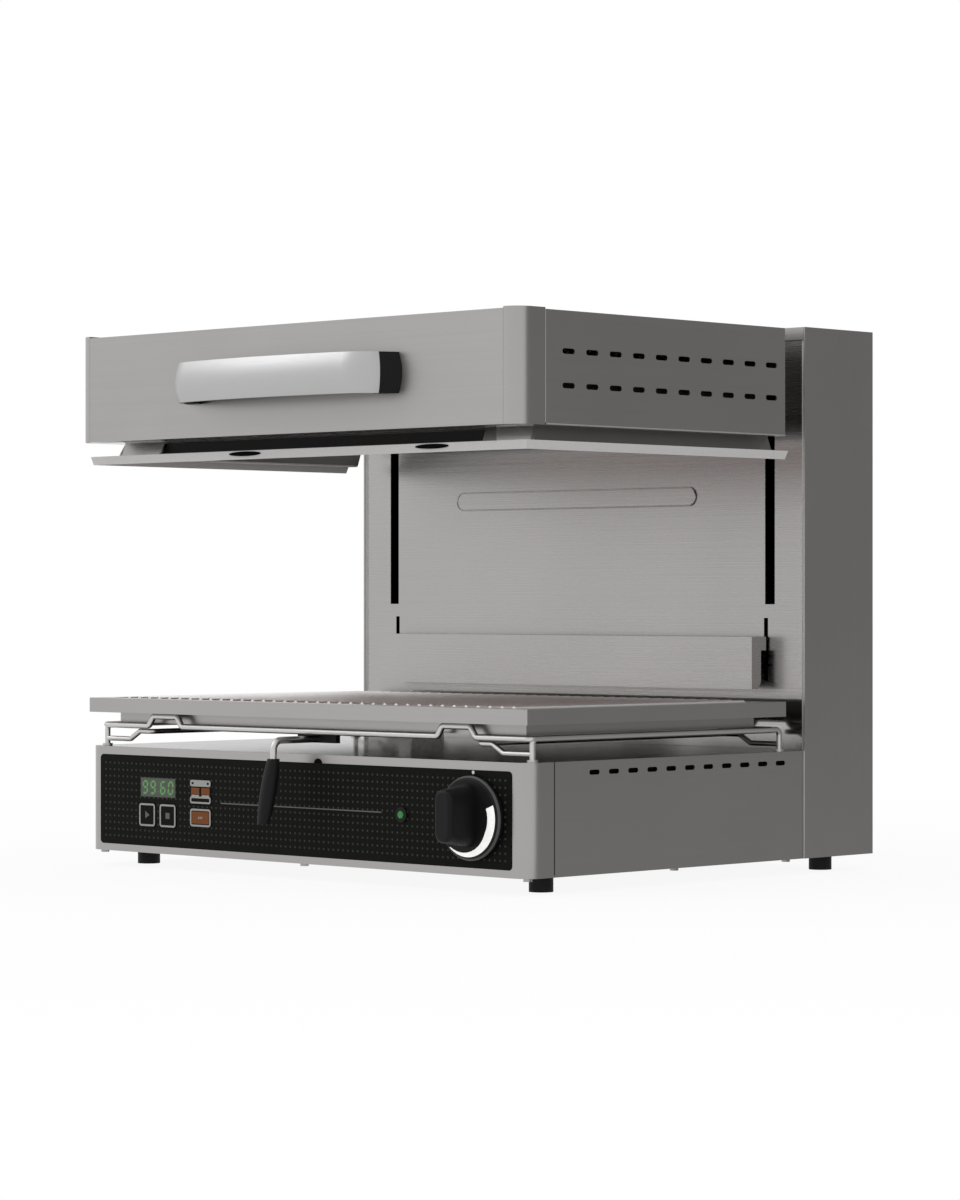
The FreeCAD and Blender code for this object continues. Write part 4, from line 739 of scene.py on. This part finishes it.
# The front of each column side is a sheet's edge low down and a slanted fold above the deck, both in pale
# matt steel as painted light
FOLD_WIDTH = 5.0 * MM
FOLD_DEPTH = 1.95 * MM
FOLD_INSET = 0.05 * MM


def column_edges():
    deck_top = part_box("deck")[1].z
    for node in ("column_side_left", "column_side_right"):
        low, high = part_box(node)
        side = math.copysign(1, low.x)
        outer = max(abs(low.x), abs(high.x)) - FOLD_INSET
        inner = outer - (high.x - low.x)
        front = low.y - PRINT
        back = low.y + FOLD_DEPTH
        edge_corners = [(outer, front), (inner, front), (inner, low.y), (outer, low.y)]
        fold_corners = [(outer, front), (outer - FOLD_WIDTH, back), (outer, back)]
        edge = [(side * x, y, low.z) for x, y in edge_corners]
        fold = [(side * x, y, deck_top) for x, y in fold_corners]
        plated(node + "_edge", [edge], (0, 0, deck_top - low.z), matt_steel_painted_light, "root")
        plated(node + "_fold", [fold], (0, 0, high.z - deck_top), matt_steel_painted_light, "root")


column_edges()


# Upright seams behind the front corners of the hood and the base
SEAM_WIDTH = 0.9 * MM
SEAM_FOOT = 2.0 * MM
SEAMS = [("hood_side_left", "hood", steel_back), ("hood_side_right", "hood", steel_back),
         ("base_side_left", "root", black_enamel), ("base_side_right", "root", black_enamel)]


def corner_seams():
    for node, body, material in SEAMS:
        low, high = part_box(node)
        x = outer_x(low, high)
        points = [(x, low.y, low.z + SEAM_FOOT), (x, low.y, high.z)]
        round_edge(node + "_seam", points, SEAM_WIDTH / 2, False, material, body)


corner_seams()


# A plate closes the left end of the gap below the column's panel, with a rolled edge in bright steel as a
# painted highlight, and a slanted return
FOOT_PLATE_WIDTH = 66 * MM
FOOT_PLATE_DEPTH = 18.9 * MM
FOOT_PLATE_SLANT = 30 * MM
FOOT_PLATE_ROLL = 2.0 * MM


def foot_plate():
    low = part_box("column_front_panel")[0]
    floor_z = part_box("deck")[1].z + PRINT
    left = low.x + PRINT
    right = left + FOOT_PLATE_WIDTH
    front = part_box("column_side_left")[0].y + FOLD_DEPTH
    back = front + FOOT_PLATE_DEPTH
    corners = [(left, front), (right, front), (right + FOOT_PLATE_SLANT, back), (left, back)]
    plate = [(x, y, floor_z) for x, y in corners]
    plated("foot_plate", [plate], (0, 0, low.z - floor_z), steel_panel, "root")
    roll = [(right, front + FOOT_PLATE_ROLL, floor_z), (right, front + FOOT_PLATE_ROLL, low.z)]
    round_edge("foot_plate_roll", roll, FOOT_PLATE_ROLL, False, bright_steel_and_painted_highlight, "root")


foot_plate()


# Two long dark ovals in the front of the hood's lower lip, painted shade, each with its middle and width
LIP_SHADE_OVALS = [(-71 * MM, 44 * MM), (178 * MM, 42 * MM)]
LIP_SHADE_HEIGHT = 4.4 * MM
LIP_SHADE_DROP = 0.6 * MM
LIP_SHEET = 1.5 * MM


def lip_painted_shade_ovals():
    low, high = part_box("skirt_ring")
    z = high.z - LIP_SHADE_HEIGHT / 2 - LIP_SHADE_DROP
    outlines = [oval(x, z, width, LIP_SHADE_HEIGHT) for x, width in LIP_SHADE_OVALS]
    raised("lip_painted_shade_ovals", outlines, low.y - PRINT, low.y + LIP_SHEET, black_painted_shade, "hood")


lip_painted_shade_ovals()


# Thin pale plates on the slanted front wall of the hood's skirt, left and right of its opening: a painted
# reflection of the hood's bright underside
SKIRT_FLARE = 5.0 * MM
SKIRT_HIGHLIGHTS_FROM = [(-1, 217 * MM), (1, 231 * MM)]


def skirt_painted_highlights():
    low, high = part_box("skirt_wall")
    front = low.y - PRINT
    faces = []
    for side, start in SKIRT_HIGHLIGHTS_FROM:
        inner = side * start
        outer = side * (high.x - SKIRT_FLARE)
        faces.append([(inner + side * SKIRT_FLARE, front, low.z), (outer + side * PRINT, front, low.z),
                      (outer, front + SKIRT_FLARE, high.z), (inner, front + SKIRT_FLARE, high.z)])
    plated("skirt_painted_highlights", faces, (0, PRINT, 0), bright_steel_and_painted_highlight, "hood")


skirt_painted_highlights()


# A tongue at the right rear end of the skirt's lower lip, in pale matt steel as painted light
TONGUE_REACH = 8.0 * MM
TONGUE_SLANT = 2.5 * MM
TONGUE_ROOT = 12 * MM
LIP_LEAN = 2.0 * MM


def lip_tongue():
    low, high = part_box("skirt_ring")
    end = high.y + TONGUE_REACH
    root = high.y - TONGUE_ROOT
    top = high.x + PRINT
    foot = top - LIP_LEAN
    corners = [(top, root, high.z), (top, end, high.z),
               (foot, end - TONGUE_SLANT, low.z), (foot, root, low.z)]
    plated("lip_tongue", [corners], (-LIP_SHEET, 0, 0), matt_steel_painted_light, "hood")


lip_tongue()


# A black sheet in the column, painted shade seen through the slots of the arms
SHADE_SHEET_GAP = 2.0 * MM
SHADE_SHEET_EDGE = 12 * MM


def column_painted_shade():
    low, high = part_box("column_front_panel")
    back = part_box("column_rear_cover")[1].y - SHADE_SHEET_GAP
    outlines = [rounded(side * high.x / 2, (low.z + high.z) / 2, high.x - SHADE_SHEET_EDGE,
                        high.z - low.z - SHADE_SHEET_EDGE, SHADE_SHEET_EDGE) for side in (-1, 1)]
    raised("column_painted_shade", outlines, back - PRINT, back, black_painted_shade, "root")


column_painted_shade()


# The same painted shade behind the vents in both sides of the base
BASE_SHADE_SHEET_DROP = 10.5 * MM
BASE_SHADE_SHEET_HEIGHT = 16 * MM
BASE_SHADE_SHEET_RADIUS = 4.0 * MM


def base_painted_shade():
    low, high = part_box("base_side_right")
    outline = rounded((low.y + high.y) / 2, high.z - BASE_SHADE_SHEET_DROP, high.y - low.y - SHADE_SHEET_EDGE,
                      BASE_SHADE_SHEET_HEIGHT, BASE_SHADE_SHEET_RADIUS)
    x = low.x - SHADE_SHEET_GAP
    faces = [[(side * x, y, z) for y, z in outline] for side in (-1, 1)]
    plated("base_painted_shade", faces, (PRINT, 0, 0), black_painted_shade, "root")


base_painted_shade()


# Studio: a pale floor, a grey card beside the object, three soft lamps and a white surround
def seen_directly(tree):
    path = tree.nodes.new("ShaderNodeLightPath")
    seen = math_node(tree, "MAXIMUM", path.outputs["Is Camera Ray"], path.outputs["Is Glossy Ray"])
    return math_node(tree, "MAXIMUM", seen, path.outputs["Is Transmission Ray"])


def plane(name, corners, material):
    mesh = bpy.data.meshes.new(name)
    mesh.from_pydata(corners, [], [tuple(range(len(corners)))])
    mesh.materials.append(material)
    obj = bpy.data.objects.new(name, mesh)
    bpy.context.scene.collection.objects.link(obj)
    return obj


# The floor shows the object's shadow near it and fades to plain white further out
FLOOR_REACH = 30.0
FLOOR_DROP = 0.2 * MM
FLOOR_COLOUR = (0.9, 0.9, 0.9, 1)
FLOOR_WHITE = 0.9
FLOOR_NEAR = 0.3
FLOOR_FADE = 1.6


def floor():
    material, tree = blank_material("floor")
    diffuse = tree.nodes.new("ShaderNodeBsdfDiffuse")
    diffuse.inputs["Color"].default_value = FLOOR_COLOUR
    white = tree.nodes.new("ShaderNodeEmission")
    mix = tree.nodes.new("ShaderNodeMixShader")
    output = tree.nodes.new("ShaderNodeOutputMaterial")
    distance = tree.nodes.new("ShaderNodeVectorMath")
    distance.operation = "LENGTH"
    tree.links.new(place(tree), distance.inputs[0])
    fade = tree.nodes.new("ShaderNodeMapRange")
    fade.inputs["From Min"].default_value = FLOOR_NEAR
    fade.inputs["From Max"].default_value = FLOOR_FADE
    fade.inputs["To Min"].default_value = FLOOR_WHITE
    tree.links.new(distance.outputs["Value"], fade.inputs["Value"])
    tree.links.new(math_node(tree, "MULTIPLY", seen_directly(tree), fade.outputs[0]), mix.inputs["Fac"])
    tree.links.new(diffuse.outputs[0], mix.inputs[1])
    tree.links.new(white.outputs[0], mix.inputs[2])
    tree.links.new(mix.outputs[0], output.inputs["Surface"])
    r = FLOOR_REACH
    plane("floor", [(x, y, -FLOOR_DROP) for x, y in ((-r, -r), (r, -r), (r, r), (-r, r))], material)


floor()


# A grey card curves round the right and back, so that the steel of that side reflects it
CARD_TONE = 0.305
CARD_FLOOR_TONE = 0.38
CARD_LINE = [(1.62, -0.15), (1.8, 0.6), (1.8, 2.0), (1.3, 3.2), (0.45, 3.8)]
CARD_INNER = [(0.31, 0.9), (0.31, 0.29), (0.31, -0.22)]
CARD_HEIGHT = 3.2
CARD_LIFT = 1.0 * MM


def card_material(name, tone):
    material, tree = blank_material(name)
    glow = tree.nodes.new("ShaderNodeEmission")
    glow.inputs["Color"].default_value = (tone, tone, tone, 1)
    output = tree.nodes.new("ShaderNodeOutputMaterial")
    tree.links.new(glow.outputs[0], output.inputs["Surface"])
    return material


def grey_card():
    wall = card_material("card_wall", CARD_TONE)
    lying = card_material("card_floor", CARD_FLOOR_TONE)
    cards = [plane("card_floor", [(x, y, CARD_LIFT) for x, y in CARD_LINE + CARD_INNER], lying)]
    for i, ((x0, y0), (x1, y1)) in enumerate(zip(CARD_LINE, CARD_LINE[1:])):
        corners = [(x0, y0, CARD_LIFT), (x1, y1, CARD_LIFT), (x1, y1, CARD_HEIGHT), (x0, y0, CARD_HEIGHT)]
        cards.append(plane("card_wall_" + str(i), corners, wall))
    for card in cards:
        card.visible_camera = False
        card.visible_shadow = False
        card.visible_diffuse = False


grey_card()


# Each lamp has its place, width and power, and says whether steel mirrors it
LAMPS = [
    ("key", (-2.25, -2.05, 2.8), 3.0, 34, True),
    ("fill", (2.2, -2.4, 1.6), 2.4, 14, False),
    ("top", (0, 0.2, 3.0), 2.4, 16, False),
]
LAMP_TARGET = (0, 0, 0.25)


def soft_lamps():
    for name, place_at, size, power, mirrored in LAMPS:
        light = bpy.data.lights.new(name, "AREA")
        light.shape = "DISK"
        light.size = size
        light.energy = power
        lamp = bpy.data.objects.new(name, light)
        lamp.location = place_at
        direction = Vector(LAMP_TARGET) - Vector(place_at)
        lamp.rotation_euler = direction.to_track_quat("-Z", "Y").to_euler()
        lamp.visible_glossy = mirrored
        bpy.context.scene.collection.objects.link(lamp)


soft_lamps()


# The surround is white to the eye and in mirrors, and lights the object more softly
AMBIENT = (0.6, 0.6, 0.6, 1)
WHITE = (1, 1, 1, 1)


def surround():
    world = bpy.data.worlds.new("world")
    bpy.context.scene.world = world
    world.use_nodes = True
    tree = world.node_tree
    ambient = tree.nodes["Background"]
    ambient.inputs["Color"].default_value = AMBIENT
    white = tree.nodes.new("ShaderNodeBackground")
    white.inputs["Color"].default_value = WHITE
    mix = tree.nodes.new("ShaderNodeMixShader")
    tree.links.new(seen_directly(tree), mix.inputs["Fac"])
    tree.links.new(ambient.outputs[0], mix.inputs[1])
    tree.links.new(white.outputs[0], mix.inputs[2])
    tree.links.new(mix.outputs[0], tree.nodes["World Output"].inputs["Surface"])


surround()


def photo_camera():
    data = bpy.data.cameras.new("camera")
    data.lens = CAMERA_LENS
    data.sensor_width = SENSOR
    camera = bpy.data.objects.new("camera", data)
    camera.location = CAMERA_AT
    camera.rotation_euler = (math.radians(90), 0, CAMERA_YAW)
    bpy.context.scene.collection.objects.link(camera)
    bpy.context.scene.camera = camera


photo_camera()
bpy.context.scene.view_settings.view_transform = "Standard"
